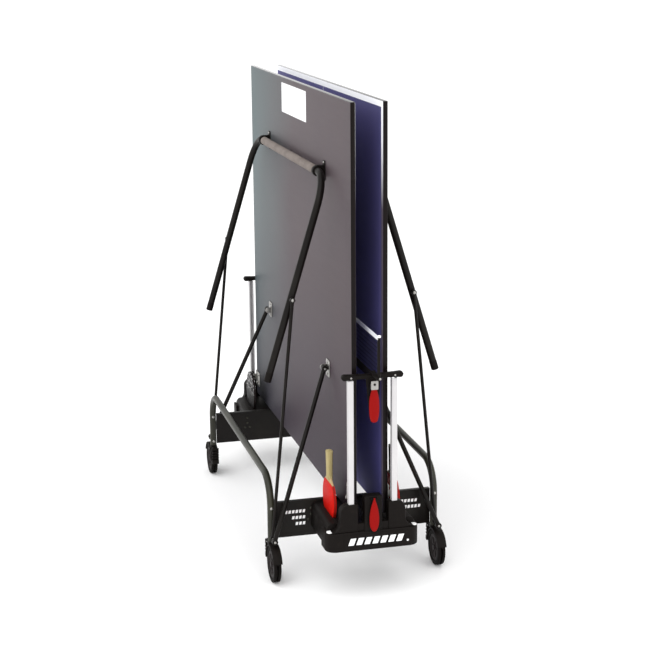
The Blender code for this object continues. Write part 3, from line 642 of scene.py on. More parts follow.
def makeCrossPlates():
    v = plateValues
    low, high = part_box("end_plate_far")
    for word, sign in nearFar.items():
        t = v["sheet"]
        outline = [(high.y - t, low.z), (high.y, low.z), (high.y, high.z), (high.y - v["lip"], high.z),
                   (high.y - v["lip"], high.z - t), (high.y - t, high.z - t)]
        outline = roundedOutline(outline, 0.0012, 3)
        shell = slab(outline, "X", low.x, high.x, 0.0004, 2)
        put("cross_plate_" + word, shell, powderBlack, "base", ["end_plate_" + word],
            (1, sign))
        heads = []
        for mirror in (-1, 1):
            for x, z in v["screwSpots"]:
                heads.append(boltHead((mirror * x, high.y, z), (0, 1, 0), 0.0045, 0.003))
                heads.append(boltHead((mirror * x, high.y - t, z), (0, -1, 0), 0.0045, 0.003))
        put("cross_plate_" + word + "_rivets", heads, frameBlack, "base", (), (1, sign))


def stripe(left, right, low, high, slant):
    # a leaning bar: its upper corners are moved along by slant
    return roundedOutline([(left, low), (right, low), (right + slant, high), (left + slant, high)], 0.001, 2)


stripeValues = dict(plateRows={-1: (0.066, 0.048, 0.034), 1: (0.052, 0.066)}, rowTop=0.228, rowPitch=0.022,
                    rowStart=0.172, dashPitch=0.0125, dash=0.0085, dashHalf=0.0055, dashSlant=0.002,
                    barStart=-0.088, barStop=0.080, barPitch=0.0275, bar=0.019, barLow=0.190, barHigh=0.214,
                    barSlant=0.009)


def makeStripes():
    # plain printed dashes in rows on each cross plate, and one row of leaning bars on each block
    v = stripeValues
    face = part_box("end_plate_far")[1].y
    for word, sign in nearFar.items():
        shells = []
        for mirror, rows in v["plateRows"].items():
            for row, length in enumerate(rows):
                low = v["rowTop"] - row * v["rowPitch"] - v["dashHalf"]
                high = v["rowTop"] - row * v["rowPitch"] + v["dashHalf"]
                for start in np.arange(v["rowStart"], v["rowStart"] + length, v["dashPitch"]):
                    outline = stripe(start, start + v["dash"], low, high,
                                     v["dashSlant"] * mirror) * (mirror, 1)
                    shells.append(slab(outline, "Y", face - 0.0001, face + 0.0003, 0.0001, 1))
        put("plate_stripes_" + word, shells, whitePrint, "base", (), (1, sign))
        front = housingValues["front"]
        bars = [stripe(start, start + v["bar"], v["barLow"], v["barHigh"], v["barSlant"])
                for start in np.arange(v["barStart"], v["barStop"], v["barPitch"])]
        band = [slab(outline, "Y", front + 0.0008, front + 0.0013, 0.0001, 1) for outline in bars]
        put("block_stripes_" + word, band, whitePrint, "base", (), (1, sign))


# ---- end housings

housingValues = dict(front=0.808, blockX=0.160, low=0.168, high=0.235, corner=0.034, wallBack=0.770,
                     wallFront=0.806, wallFoot=0.234, webTop=0.262, columnX=0.030, earX=0.052, earTop=0.330,
                     earRound=0.030, earHollow=0.034, bodyX=0.150, bodyHigh=0.257, shoulder=0.018,
                     slotHalf=0.0066, slotLow=0.5842, slotHigh=0.7158, slotFloor=0.2220)


def makeHousings():
    v = housingValues
    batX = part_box("bat_right_near")
    batX = (batX[0].x + batX[1].x) / 2
    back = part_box("end_housing_far")[0].y
    leverZ = pivot["lower_lever_far_pull"][2]
    leverY = pivot["lower_lever_far_pull"][1]
    for word, sign in nearFar.items():
        side = (1, sign)
        curve = arc((v["blockX"] - v["corner"], v["front"] - v["corner"]), v["corner"], 0, 90, 10)
        outline = mirroredOutline(np.concatenate([[(v["blockX"], v["wallBack"] - 0.040)], curve]))
        block = slab(outline, "Z", v["low"], v["high"], 0.005, 5)
        put("housing_block_" + word, block, blackPlastic, "base",
            ["end_housing_" + word], side)
        rows = []
        start = v["wallBack"]
        inner, outer = batX - v["slotHalf"], batX + v["slotHalf"]
        for mirror in (-1, 1):
            spans = [((0.0, back), (inner, start)), ((inner, back), (outer, v["slotLow"])),
                     ((inner, v["slotHigh"]), (outer, start))]
            for (x0, y0), (x1, y1) in spans:
                points, faces = box((x0, y0, v["low"] + 0.004), (x1, y1, v["bodyHigh"]), 0.0006)
                rows.append((points * (mirror, 1, 1), faces))
            points, faces = box((inner, v["slotLow"], v["low"] + 0.004),
                                (outer, v["slotHigh"], v["slotFloor"]), 0.0004)
            rows.append((points * (mirror, 1, 1), faces))
            # the outer shoulder is well rounded
            shoulder = np.concatenate([[(outer, v["low"] + 0.004), (v["bodyX"], v["low"] + 0.004)],
                                       arc((v["bodyX"] - v["shoulder"], v["bodyHigh"] - v["shoulder"]),
                                           v["shoulder"], 0, 90, 12),
                                       [(outer, v["bodyHigh"])]])
            rows.append(slab(shoulder * (mirror, 1), "Y", back, start, 0.0006, 2))
        put("housing_body_" + word, rows, blackPlastic, "base", (), side)
        wall = []
        for mirror in (-1, 1):
            # bell shape: round at the shoulder, then hollow down to the block
            ear = np.concatenate([[(v["earX"], v["wallFoot"]), (v["earX"], v["earTop"])],
                                  arc((0.082, v["earTop"] - v["earRound"]), v["earRound"], 90, 12, 8),
                                  arc((0.146, v["high"] + 0.035), v["earHollow"], 180, 262, 8)]) * (mirror, 1)
            wall.append(slab(ear, "Y", v["wallBack"], v["wallFront"] - 0.001, 0.004, 4))
        columnTop = leverZ + 0.007
        column = roundedOutline([(-v["columnX"], v["wallFoot"]), (v["columnX"], v["wallFoot"]),
                                 (v["columnX"], columnTop), (-v["columnX"], columnTop)], 0.005, 4)
        wall.append(slab(column, "Y", v["wallBack"], v["wallFront"], 0.003, 4))
        webX = v["earX"] + 0.004
        web = [(-webX, v["wallFoot"]), (webX, v["wallFoot"]), (webX, v["webTop"]), (-webX, v["webTop"])]
        wall.append(slab(web, "Y", v["wallBack"] + 0.004, v["wallFront"] - 0.004, 0.002, 3))
        put("housing_wall_" + word, wall, blackPlastic, "base", (), side)
        mount = leverMount(leverY, leverZ, v["wallFront"])
        put("lower_lever_mount_" + word, mount, blackPlastic, "base", (), side)
        # white ovals on the block's top, painted highlights standing in for the light on its rounded top corners, and
        # a small white stud on its face
        paintedHighlightsAndStud = []
        for x in (-0.144, 0.144):
            oval = superEllipse(0.0115, 0.0125, 2.2, 28) + (x, v["front"] - 0.024)
            paintedHighlightsAndStud.append(slab(oval, "Z", v["high"] - 0.001, v["high"] + 0.0016, 0.001, 2))
        paintedHighlightsAndStud.append(boltHead((0.118, v["front"] - 0.0004, 0.190), (0, 1, 0), 0.004, 0.0016))
        put("housing_pads_" + word, paintedHighlightsAndStud, whitePrint, "base", (), side)
        panel = roundedOutline([(-0.103, v["low"] + 0.009), (0.106, v["low"] + 0.009),
                                (0.106, v["high"] - 0.008),
                                (-0.103, v["high"] - 0.008)], 0.003, 3)
        put("housing_panel_" + word, slab(panel, "Y", v["front"] - 0.001, v["front"] + 0.001, 0.0008, 2),
            blackPlastic,
            "base", (), side)


def leverMount(y, z, wall):
    # two ears off a wall and the pin between them
    ears = [box((x - 0.0012, wall - 0.001, z - 0.0038), (x + 0.0012, y + 0.0030, z + 0.0038), 0.0006, "X")
            for x in (-0.0092, 0.0092)]
    return ears + [bar((-0.0106, y, z), (0.0106, y, z), 0.0019, 0.0003, 16)]


# ---- guide posts and yokes

guideValues = dict(wall=0.0018, slot=0.009)


def makeGuidePosts():
    for word, side in corners.items():
        low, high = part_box("guide_post_right_far")
        t, middle = guideValues["wall"], (low.x + high.x) / 2
        a, b = middle - guideValues["slot"] / 2, middle + guideValues["slot"] / 2
        outline = [(a, low.y), (low.x, low.y), (low.x, high.y), (high.x, high.y), (high.x, low.y), (b, low.y),
                   (b, low.y + t), (high.x - t, low.y + t), (high.x - t, high.y - t), (low.x + t, high.y - t),
                   (low.x + t, low.y + t), (a, low.y + t)]
        post = slab(roundedOutline(outline, 0.0006, 3), "Z", low.z, high.z, 0.0002, 1)
        put("guide_post_" + word + "_rail", post, postMetal, "base",
            ["guide_post_" + word], side)


yokeValues = dict(low=0.752, high=0.774, back=0.777, front=0.806, endX=0.0935, netPostY=0.873,
                  netPostTop=0.9175)


def makeYokes():
    v = yokeValues
    y, z = pivot["upper_lever_far_pull"][1:]
    middle, half = (v["low"] + v["high"]) / 2, (v["high"] - v["low"]) / 2
    for word, sign in nearFar.items():
        side = (1, sign)
        # dog-bone bar: its half height swells from the middle to the round ends over the posts
        across = np.linspace(-1, 1, 61)
        swell = 0.0072 + (half - 0.0072) * np.abs(across) ** 2.5
        x = across * (v["endX"] + half)
        cap = np.sqrt(np.clip(1 - np.clip((np.abs(x) - v["endX"]) / half, 0, 1) ** 2, 0.02, 1))
        depth = (v["front"] - v["back"]) / 2
        rings = []
        for place, h, c in zip(x, swell, cap):
            ring = superEllipse(depth * (0.35 + 0.65 * c), h * c, 3.2, 28)
            rings.append(onAxis(ring + ((v["back"] + v["front"]) / 2, middle), place, "X"))
        put("yoke_" + word, loft(rings), blackPlastic, "base", ["top_yoke_" + word], side)
        tongue = roundedOutline([(-0.026, middle), (0.026, middle), (0.011, 0.614), (-0.011, 0.614)],
                                0.006, 4)
        put("lever_backing_" + word, slab(tongue, "Y", v["front"] - 0.0055, v["front"] - 0.0005, 0.0012),
            blackPlastic,
            "base", (), side)
        plate = roundedOutline([(-0.0125, z - 0.008), (0.0125, z - 0.008), (0.0125, z + 0.022),
                                (-0.0125, z + 0.022)],
                               0.0025, 3)
        wall = v["front"] + 0.0026
        mount = [slab(plate, "Y", v["front"] - 0.0004, wall, 0.0006, 2)] + leverMount(y, z, wall)
        put("upper_lever_mount_" + word, mount, blackPlastic, "base", (), side)
        front = v["netPostY"] + 0.0046
        arm = box((-0.008, 0.786, v["high"] - 0.004), (0.008, front, v["high"] + 0.0056), 0.0014)
        top = v["netPostTop"]
        post = bar((0, v["netPostY"], v["high"]), (0, v["netPostY"], top - 0.005), 0.0044, 0.0010, 24)
        put("net_post_" + word, [arm, post], blackPlastic, "base", (), side)
        cap = bar((0, v["netPostY"], top - 0.0075), (0, v["netPostY"], top), 0.0056, 0.0016, 24)
        put("net_post_cap_" + word, cap, whitePrint, "base", (), side)
        screws = [boltHead((x, v["front"] - 0.0012, middle), (0, 1, 0), 0.0036, 0.0024)
                  for x in (-0.074, 0.074)]
        screws.append(boltHead((0.002, front - 0.0002, v["high"] + 0.0006), (0, 1, 0), 0.0042, 0.0030))
        put("yoke_screws_" + word, screws, zincPlate, "base", (), side)


leverValues = dict(
    thick=0.0045, shares=(0, 0.12, 0.30, 0.55, 0.80, 0.93, 1.0),
    upper=(0.014, 0.126, (0.0075, 0.0125, 0.0165, 0.0175, 0.0163, 0.0130, 0.0090)),
    lower=(0.003, 0.113, (0.0026, 0.0078, 0.0132, 0.0170, 0.0158, 0.0115, 0.0050)))


def makeLevers():
    v = leverValues
    for level in ("upper", "lower"):
        y, z = pivot[level + "_lever_far_pull"][1:]
        start, stop, widths = v[level]
        # leaf shape: half widths at a few shares of the length, joined by a smoothed line; the
        # sections are nearly diamonds, which leaves a soft ridge down the middle
        share = np.linspace(0, 1, 49)
        width = np.interp(share, v["shares"], widths)
        padded = np.concatenate([width[:1].repeat(4), width, width[-1:].repeat(4)])
        width = np.convolve(padded, np.ones(9) / 9, "valid")
        width *= np.sqrt(np.clip(1 - np.clip((share - 0.96) / 0.04, 0, 1) ** 2 * 0.75, 0.05, 1))
        thick = v["thick"] * np.clip(width / 0.010, 0.35, 1) ** 0.7
        down = start + share * (stop - start)
        rings = [onAxis(superEllipse(w, t, 1.75, 36) + (0, y), z - d, "Z") for w, t,
                 d in zip(width, thick, down)]
        for word, sign in nearFar.items():
            name = level + "_lever_" + word
            hub, reach = (0.0048, 0.0064) if level == "upper" else (0.0034, 0.0026)
            shells = [loft(rings), bar((-reach, y, z), (reach, y, z), hub, 0.0006, 24),
                      box((-0.0028, y - 0.003, z - start - 0.012), (0.0028, y + 0.003, z), 0.001)]
            put(name + "_grip", shells, leverRed, name, [name], (1, sign))
            if level == "upper":
                clip = roundedOutline([(-0.0122, z - 0.0145), (0.0122, z - 0.0145), (0.0122, z + 0.015),
                                       (-0.0122, z + 0.015)], 0.0025, 3)
                shells = [slab(clip, "Y", y + 0.0052, y + 0.0066, 0.0004, 2)]
                shells += [box((side * 0.0115 - 0.0007, y - 0.002, z - 0.0125),
                               (side * 0.0115 + 0.0007, y + 0.0056, z + 0.005),
                               0.0003, "X") for side in (-1, 1)]
                put(name + "_clip", shells, zincPlate, name, (), (1, sign))
                stud = boltHead((0, y + 0.0064, z + 0.003), (0, 1, 0), 0.0045, 0.0026)
                put(name + "_stud", stud, blackPlastic, name, (), (1, sign))


# ---- net

def makeNet():
    v = netValues
    low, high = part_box("net")
    t = v["halfThick"]
    lowSlack = 0.7815
    levels = np.linspace(v["darkTop"] - 0.001, high.z - v["tapeHeight"] + 0.002, 9)
    profile = np.concatenate([np.stack([np.full(9, t * 0.5), levels], 1),
                              np.stack([np.full(9, -t * 0.5), levels[::-1]], 1)])
    along = np.linspace(-v["endY"] + 0.004, v["endY"] - 0.004, 60)
    lift = np.where(np.abs(along) > 0.774, lowSlack - levels[0], 0.0)
    rings = np.repeat(profile[None], len(along), 0)
    share = 1 - (rings[..., 1] - levels[0]) / (levels[-1] - levels[0])
    rings[..., 1] += lift[:, None] * share
    points = np.empty(rings.shape[:2] + (3,))
    points[..., 0], points[..., 1], points[..., 2] = rings[..., 0], along[:, None], rings[..., 1]
    sheet = put("net_sheet", loft(points), netMesh, "base", ["net"])
    topTape = slab(roundedOutline([(-t, high.z - v["tapeHeight"]), (t, high.z - v["tapeHeight"]),
                                   (t, high.z), (-t, high.z)], 0.0006, 3), "Y", -v["endY"], v["endY"],
                   0.0003, 1)
    tapes = [put("net_top_tape", topTape, whiteTape, "base")]
    darkBand = slab(roundedOutline([(-t, low.z + 0.001), (t, low.z + 0.001), (t, v["darkTop"]),
                                    (-t, v["darkTop"])],
                                   0.0006, 3), "Y", -0.7715, 0.7715, 0.0003, 1)
    tapes.append(put("net_bottom_tape", darkBand, darkTape, "base"))
    for word, sign in nearFar.items():
        edge = box((-t, v["endY"] - 0.010, lowSlack),
                   (t, v["endY"] + 0.004, high.z - v["tapeHeight"] + 0.001), 0.0004)
        tapes.append(put("net_side_tape_" + word, edge, darkTape, "base", (), (1, sign)))


# ---- legs, arms and struts

legValues = dict(tubeRadius=0.0125, bendRadius=0.100, length=0.718, tilt=16.9, halfSpan=0.545, sleeve=0.408)
legAxis = pivot["leg_right_fold"]


def makeLegs():
    v = legValues
    tilt = math.radians(v["tilt"])
    down = np.array((math.sin(tilt), 0, -math.cos(tilt)))
    normal = np.array((math.cos(tilt), 0, math.sin(tilt)))
    start = np.array((legAxis[0], 0, legAxis[2]))
    bend = arc((v["halfSpan"] - v["bendRadius"], v["bendRadius"]), v["bendRadius"], 0, -90, 14)
    half = np.concatenate([[(v["halfSpan"], v["length"] - 0.004), (v["halfSpan"], v["length"] * 0.5)], bend])
    flat = np.concatenate([half, half[::-1] * (-1, 1)])
    path = start + flat[:, :1] * np.array((0, 1, 0)) + flat[:, 1:] * down
    for word, sign in leftRight.items():
        side = (sign, 1)
        tube = carried(path, circle(v["tubeRadius"], 32), normal)
        put("leg_tube_" + word, tube, powderBlack, "leg_" + word, ["leg_frame_" + word], side)
        sleeve = bar(start + (0, -v["sleeve"], 0), start + (0, v["sleeve"], 0), 0.0148, 0.0018, 36)
        put("leg_sleeve_" + word, sleeve, sleeveFoam, "leg_" + word, (), side)
        caps = []
        for end in (-1, 1):
            foot = start + np.array((0, end * v["halfSpan"], 0)) + down * v["length"]
            caps.append(bar(foot - down * 0.034, foot, 0.0129, 0.002, 32))
        put("leg_caps_" + word, caps, blackPlastic, "leg_" + word, (), side)


def strutTop():
    # the strut's upper bolt: along the leg from its axis by the distance that the CAD strut reaches
    low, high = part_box("strut_right_far")
    return np.array((low.x + 0.009, 0.570, high.z - 0.009))


memberValues = dict(armRadius=0.008, strutRadius=0.0058, armTopY=0.4585, armLowY=0.605, strutY=0.570)


def makeMembers():
    v = memberValues
    armTop = pivot["arms_right_fold"]
    top = strutTop()
    for word, side in corners.items():
        half = word.split("_")[0]
        high = np.array((armTop[0], v["armTopY"], armTop[2]))
        low = np.array((lowPivot[0], v["armLowY"], lowPivot[2]))
        shells = [bar(high, low, v["armRadius"], 0.001),
                  bar(high - (0, 0.0098, 0), high + (0, 0.0098, 0), 0.0106, 0.001),
                  bar(low - (0, 0.0088, 0), low + (0, 0.0088, 0), 0.0103, 0.001)]
        put("arm_" + word + "_bar", shells, powderBlack, "arms_" + half, ["arm_" + word], side)
        bolt = [bar(low - (0, 0.0270, 0), low, 0.0048, 0.0006),
                boltHead(low + (0, 0.0086, 0), (0, 1, 0), 0.0048, 0.0030)]
        put("arm_" + word + "_bolt", bolt, zincPlate, "arms_" + half, (), side)
        foot = np.array((lowPivot[0], v["strutY"], lowPivot[2]))
        shells = [bar(foot, top, v["strutRadius"], 0.0006, 24),
                  bar(foot - (0, 0.0056, 0), foot + (0, 0.0056, 0), 0.0088, 0.0008),
                  bar(top - (0, 0.0056, 0), top + (0, 0.0056, 0), 0.0088, 0.0008)]
        put("strut_" + word + "_bar", shells, powderBlack, "struts_" + half,
            ["strut_" + word], side)
        bolt = [bar(top - (0, 0.0112, 0), top, 0.0038, 0.0004, 20),
                boltHead(top + (0, 0.0054, 0), (0, 1, 0), 0.0058, 0.0032)]
        put("strut_" + word + "_bolt", bolt, zincPlate, "struts_" + half, (), side)


# ---- brackets on the undersides

bracketValues = dict(
    sheet=0.003, armY=(0.436, 0.482), armHalf=0.030, armEarY=(0.4402, 0.4438), armEar=0.011, armScrew=0.022,
    guideY=(0.700, 0.768), guideHalf=0.030, guideLugY=(0.7646, 0.7679), guideLug=0.012, guideScrew=0.02,
    legY=(0.414, 0.442), legHalf=0.034, clampY=(0.4182, 0.4378), clamp=0.0183, clampFoot=0.019,
                     legScrew=0.027)


def bracketPlate(inner, spanY, z, half, corner, edge):
    # a rounded flat plate on the underside, centred on a height
    corners = [(spanY[0], z - half), (spanY[1], z - half), (spanY[1], z + half), (spanY[0], z + half)]
    outline = roundedOutline(corners, corner, 4)
    return slab(outline, "X", inner, inner + bracketValues["sheet"], edge, 2)


def lugOutline(inner, x, z, radius, foot, count=10):
    # a half round nose about a pin, with its feet on the plate
    return np.concatenate([[(inner, z - foot)], arc((x, z), radius, -90, 90, count), [(inner, z + foot)]])


def makeBrackets():
    v = bracketValues
    inner = boardHigh.x + 0.0002
    outer = inner + v["sheet"]
    armTop = pivot["arms_right_fold"]
    pin = pivot["half_right_fold"]
    for word, side in corners.items():
        half = "half_" + word.split("_")[0]
        x, z = armTop[0], armTop[2]
        ear = lugOutline(inner, x, z, v["armEar"], v["armEar"])
        shells = [bracketPlate(inner, v["armY"], z, v["armHalf"], 0.008, 0.0006),
                  slab(ear, "Y", *v["armEarY"], 0.0005, 2),
                  bar((x, 0.442, z), (x, 0.474, z), 0.0038, 0.0006, 20)]
        shells += [boltHead((outer, 0.459, z + d), (1, 0, 0), 0.0052, 0.0034)
                   for d in (-v["armScrew"], v["armScrew"])]
        put("arm_bracket_" + word + "_plate", shells, zincPlate, half,
            ["arm_bracket_" + word], side)

        x, z = pin[0], pin[2]
        lug = lugOutline(inner, x, z, v["guideLug"], v["guideLug"])
        shells = [bracketPlate(inner, v["guideY"], z, v["guideHalf"], 0.006, 0.0006),
                  slab(lug, "Y", *v["guideLugY"], 0.0004, 2)]
        shells += [boltHead((outer, y, z + d), (1, 0, 0), 0.0052, 0.0034)
                   for y in (0.712, 0.748) for d in (-v["guideScrew"], v["guideScrew"])]
        put("guide_bracket_" + word + "_plate", shells, zincPlate, half,
            ["guide_bracket_" + word], side)

        x, z = legAxis[0], legAxis[2]
        clamp = lugOutline(inner, x, z, v["clamp"], v["clampFoot"], 14)
        shells = [bracketPlate(inner, v["legY"], z, v["legHalf"], 0.006, 0.0008),
                  slab(clamp, "Y", *v["clampY"], 0.0014, 3)]
        put("leg_bracket_" + word + "_clamp", shells, blackPlastic, half,
            ["leg_bracket_" + word], side)
        heads = [boltHead((outer, 0.428, z + d), (1, 0, 0), 0.0048, 0.003)
                 for d in (-v["legScrew"], v["legScrew"])]
        put("leg_bracket_" + word + "_screws", heads, zincPlate, half, (), side)


# ---- castors

casterValues = dict(hood=0.0676, inside=0.0642, hoodFrom=18, hoodTo=174, halfWidth=0.016,
                    tyreMiddle=0.0546, tyreHalf=0.0079, tyreOffset=0.0075, spokes=6, spokeIn=0.012,
                    spokeOut=0.038, pedalHalf=0.014, toothHalf=0.0136, pedalLow=0.0602, teeth=4)


def makeCasters():
    v = casterValues
    wheel = pivot["wheels_right_far_spin"]
    pedal = pivot["pedal_right_far_release"]
    centre = (wheel[1], wheel[2])
    x = wheel[0]
    for word, side in corners.items():
        # the hood thins towards both ends: its thickness follows half a sine wave along its arc
        angle = np.radians(np.linspace(v["hoodFrom"], v["hoodTo"], 53))
        share = (angle - angle[0]) / (angle[-1] - angle[0])
        lift = (v["hood"] - v["inside"]) * (0.45 + 0.55 * np.sin(share * np.pi))
        outer = np.stack([np.cos(angle), np.sin(angle)], 1) * (v["inside"] + lift)[:, None] + centre
        hood = np.concatenate([outer, arc(centre, v["inside"] - 0.0006, v["hoodTo"], v["hoodFrom"], 52)])
        web = np.concatenate([arc(centre, v["hood"] - 0.002, 14, 176, 30), arc(centre, 0.026, 180, 360, 20)])
        shells = [slab(hood, "X", x - v["halfWidth"], x + v["halfWidth"], 0.0003, 2),
                  slab(web, "X", x - 0.0015, x + 0.0015, 0.0003, 1),
                  box((x - 0.0125, postY - 0.016, 0.1195), (x + 0.0125, postY + 0.018, 0.1284), 0.0016),
                  box((x - 0.0094, pedal[1] - 0.005, 0.1166), (x + 0.0094, postY, 0.1274), 0.0012)]
        put("caster_body_" + word, shells, blackPlastic, "caster_" + word,
            ["caster_fork_" + word], side)
        metal = [bar((x, postY, 0.120), (x, postY, postFoot - 0.0003), 0.0122, 0.0008),
                 bar((x - 0.0134, pedal[1], pedal[2]), (x + 0.0134, pedal[1], pedal[2]), 0.0024, 0.0003, 16)]
        put("caster_stem_" + word, metal, powderBlack, "caster_" + word, (), side)

        tyres, hubs = [], []
        ring = superEllipse(0.0053, v["tyreHalf"], 4.0, 28)
        for offset in (-v["tyreOffset"], v["tyreOffset"]):
            tyres.append(turned("X", centre, ring + (x + offset, v["tyreMiddle"]), 72, True))
            out = math.copysign(1, offset)
            profile = [(x + out * 0.0124, 0.0040), (x + out * 0.0124, 0.0088), (x + out * 0.0116, 0.0100),
                       (x + out * 0.0090, 0.0112), (x + out * 0.0082, 0.0150), (x + out * 0.0078, 0.0300),
                       (x + out * 0.0088, 0.0360), (x + out * 0.0110, 0.0390), (x + out * 0.0112, 0.0440),
                       (x + out * 0.0096, 0.0476), (x + out * 0.0030, 0.0476), (x + out * 0.0030, 0.0110)]
            hubs.append(turned("X", centre, profile, 48))
            for direction in circle(1, v["spokes"]):
                spoke = [(x + out * 0.0086, *(direction * reach + centre))
                         for reach in (v["spokeIn"], v["spokeOut"])]
                hubs.append(bar(*spoke, 0.0016, 0.0004, 10))
        hubs.append(bar((x - 0.0034, *centre), (x + 0.0034, *centre), 0.0118, 0.0002, 32))
        put("wheel_treads_" + word, tyres, treadRubber, "wheels_" + word,
            ["caster_wheel_" + word], side)
        put("wheel_hubs_" + word, hubs, hubPlastic, "wheels_" + word, (), side)

        # stepped pedal: a plate with deep teeth across its upper part and a rounded toe below
        top, low = pedal[2] - 0.010, v["pedalLow"]
        wide, tooth = v["pedalHalf"], v["toothHalf"]
        shells = [box((x - wide, pedal[1] - 0.0005, low), (x + wide, pedal[1] + 0.004, top), 0.0012, "X")]
        for z in np.linspace(top - 0.002, top - 0.036, v["teeth"]):
            outline = superEllipse(0.0048, 0.0029, 3.0, 18) + (pedal[1] - 0.0032, z)
            shells.append(slab(outline, "X", x - tooth, x + tooth, 0.0008, 2))
        toe = superEllipse(0.0062, 0.0085, 2.6, 24) + (pedal[1] - 0.0022, low + 0.0088)
        shells.append(slab(toe, "X", x - tooth, x + tooth, 0.001, 2))
        for edge in (x - wide, x + wide - 0.003):
            cheek = np.concatenate([[(pedal[1] + 0.004, top - 0.004)],
                                    arc((pedal[1], pedal[2]), 0.0054, 0, 180, 10),
                                    [(pedal[1] - 0.001, top - 0.004)]])
            shells.append(slab(cheek, "X", edge, edge + 0.003, 0.0005, 2))
        put("pedal_" + word + "_ribbed", shells, blackPlastic, "pedal_" + word,
            ["brake_pedal_" + word], side)


# ---- bats

def makeBats():
    v = batValues
    # the right bat's handle takes the near-black copy of the handle wood: painted shade
    spots = {"bat_left_near": (batRed, batEdge, handleWood), "bat_right_near": (batRed, batEdge, darkGrip),
             "bat_cover_left_far": (coverFilm, coverEdge, None)}
    for name, (rubber, edge, grip) in spots.items():
        low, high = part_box(name)
        x = (low.x + high.x) / 2
        y = (low.y + high.y) / 2
        tall = v["halfHeight"] if grip else (high.z - low.z) / 2
        z = low.z + tall
        turn = np.linspace(0, 2 * np.pi, 73)[:-1]
        oval = np.stack([y + v["halfWidth"] * np.cos(turn), z + tall * np.sin(turn)], 1)
        core = slab(oval, "X", x - v["ply"], x + v["ply"], 0.0004, 2)
        put(name + "_blade", core, edge, name, [name])
        # the sheets stop below the throat, on a curve across the blade
        stop = z + (0.062 if grip else tall)
        capped = oval.copy()
        capped[:, 1] = np.minimum(capped[:, 1], stop - 0.10 * (capped[:, 0] - y) ** 2 / v["halfWidth"])
        sheets = [slab(capped, "X", x + v["ply"], x + v["ply"] + v["sheet"], 0.0005, 2),
                  slab(capped, "X", x - v["ply"] - v["sheet"], x - v["ply"], 0.0005, 2)]
        put(name + "_rubbers", sheets, rubber, name)
        if grip is None:
            continue
        # flared handle: its half width dips below the middle and grows to the butt
        up = np.linspace(0, 1, 30)
        place = z + 0.060 + up * (v["handleTop"] - 0.060)
        wide = 0.0125 + 0.016 * np.exp(-((up / 0.13) ** 2)) + 0.0042 * up**2.2
        thick = 0.0100 + 0.0013 * up**2 - 0.0062 * np.exp(-((up / 0.10) ** 2))
        close = np.sqrt(np.clip(1 - np.clip((up - 0.965) / 0.035, 0, 1) ** 2, 0.12, 1))
        rings = [onAxis(superEllipse(t * c, w * c, 3.0, 32) + (x, y), p, "Z")
                 for w, t, p, c in zip(wide, thick, place, close)]
        put(name + "_handle", loft(rings), grip, name)


# ---- sliders stay as they are, in a better finish

def finishSliders():
    for word in corners:
        node = frame["nodes"]["slider_" + word]
        node.data.materials.clear()
        node.data.materials.append(blackPlastic)


steps = [("halves", makeBoards), ("label", makeLabel), ("side frames", makeSideFrames),
         ("cross plates", makeCrossPlates),
         ("stripes", makeStripes), ("housings", makeHousings), ("guide posts", makeGuidePosts),
         ("yokes", makeYokes),
         ("levers", makeLevers), ("net", makeNet), ("legs", makeLegs), ("arms and struts", makeMembers),
         ("brackets", makeBrackets), ("castors", makeCasters), ("bats", makeBats), ("sliders", finishSliders)]
for title, make in steps:
    make()
    print("table:", title)


# ---- studio

studioValues = dict(world=0.86, sun=1.75, sunAngle=80, fill=50, rim=26)


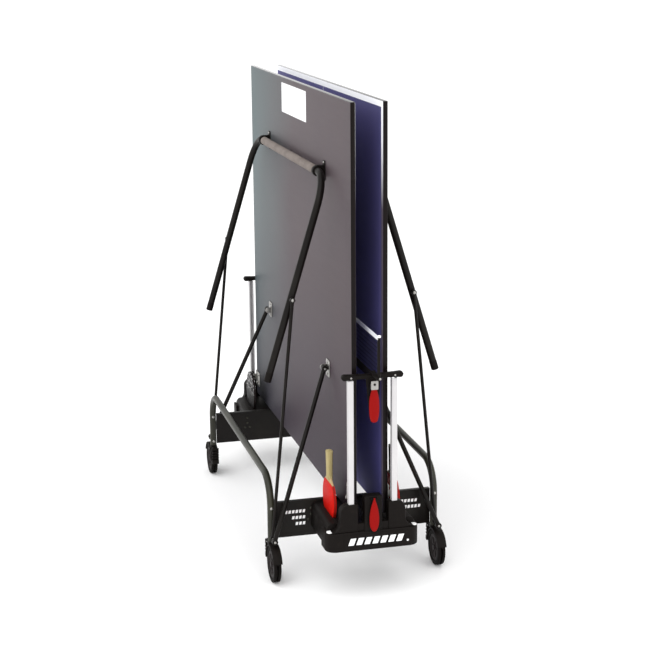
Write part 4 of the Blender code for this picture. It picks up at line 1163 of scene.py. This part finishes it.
def makeStudio():
    v = studioValues
    world = bpy.data.worlds.new("paleRoom")
    bpy.context.scene.world = world
    world.use_nodes = True
    world.node_tree.nodes["Background"].inputs["Color"].default_value = (1, 1, 1, 1)
    world.node_tree.nodes["Background"].inputs["Strength"].default_value = v["world"]

    mesh = bpy.data.meshes.new("floor")
    reach = 80.0
    mesh.from_pydata([(-reach, -reach, 0), (reach, -reach, 0), (reach, reach, 0), (-reach, reach, 0)], [],
                     [(0, 1, 2, 3)])
    f = Finish("paleFloor", Specular_IOR_Level=0.1, Roughness=0.9)
    f.set("Base Color", f.mix(f.noise(0.8, 2.0), (0.97, 0.97, 0.97, 1), (0.99, 0.99, 0.99, 1)))
    mesh.materials.append(f.material)
    floor = bpy.data.objects.new("floor", mesh)
    bpy.context.scene.collection.objects.link(floor)

    def lamp(name, kind, energy, place, target, size):
        data = bpy.data.lights.new(name, kind)
        data.energy = energy
        if kind == "SUN":
            data.angle = math.radians(size)
        else:
            data.shape = "DISK"
            data.size = size
        light = bpy.data.objects.new(name, data)
        light.location = place
        light.rotation_euler = (Vector(target) - Vector(place)).to_track_quat("-Z", "Y").to_euler()
        bpy.context.scene.collection.objects.link(light)

    lamp("key", "SUN", v["sun"], (-3.0, -4.0, 7.0), (0, 0, 0.6), v["sunAngle"])
    lamp("fill", "AREA", v["fill"], (3.5, -4.5, 2.6), (0, 0, 0.8), 3.0)
    lamp("rim", "AREA", v["rim"], (-3.5, 3.0, 2.8), (0, 0, 0.9), 2.5)


cameraValues = dict(place=(-1.3587, -5.5466, 2.1532), yaw=14.192, pitch=13.858, roll=-0.5175, lens=87.67)


def makeCamera():
    v = cameraValues
    yaw, pitch, roll = (math.radians(v[key]) for key in ("yaw", "pitch", "roll"))
    ahead = Vector((math.sin(yaw) * math.cos(pitch), math.cos(yaw) * math.cos(pitch), -math.sin(pitch)))
    right = Vector((math.cos(yaw), -math.sin(yaw), 0))
    up = right.cross(ahead)
    turnedRight = math.cos(roll) * right + math.sin(roll) * up
    turnedUp = -math.sin(roll) * right + math.cos(roll) * up
    data = bpy.data.cameras.new("camera")
    data.lens = v["lens"]
    data.sensor_width = 36
    camera = bpy.data.objects.new("camera", data)
    matrix = Matrix((turnedRight, turnedUp, -ahead)).transposed().to_4x4()
    matrix.translation = v["place"]
    camera.matrix_world = matrix
    bpy.context.scene.collection.objects.link(camera)
    bpy.context.scene.camera = camera


makeStudio()
makeCamera()
bpy.context.scene.view_settings.view_transform = "Standard"
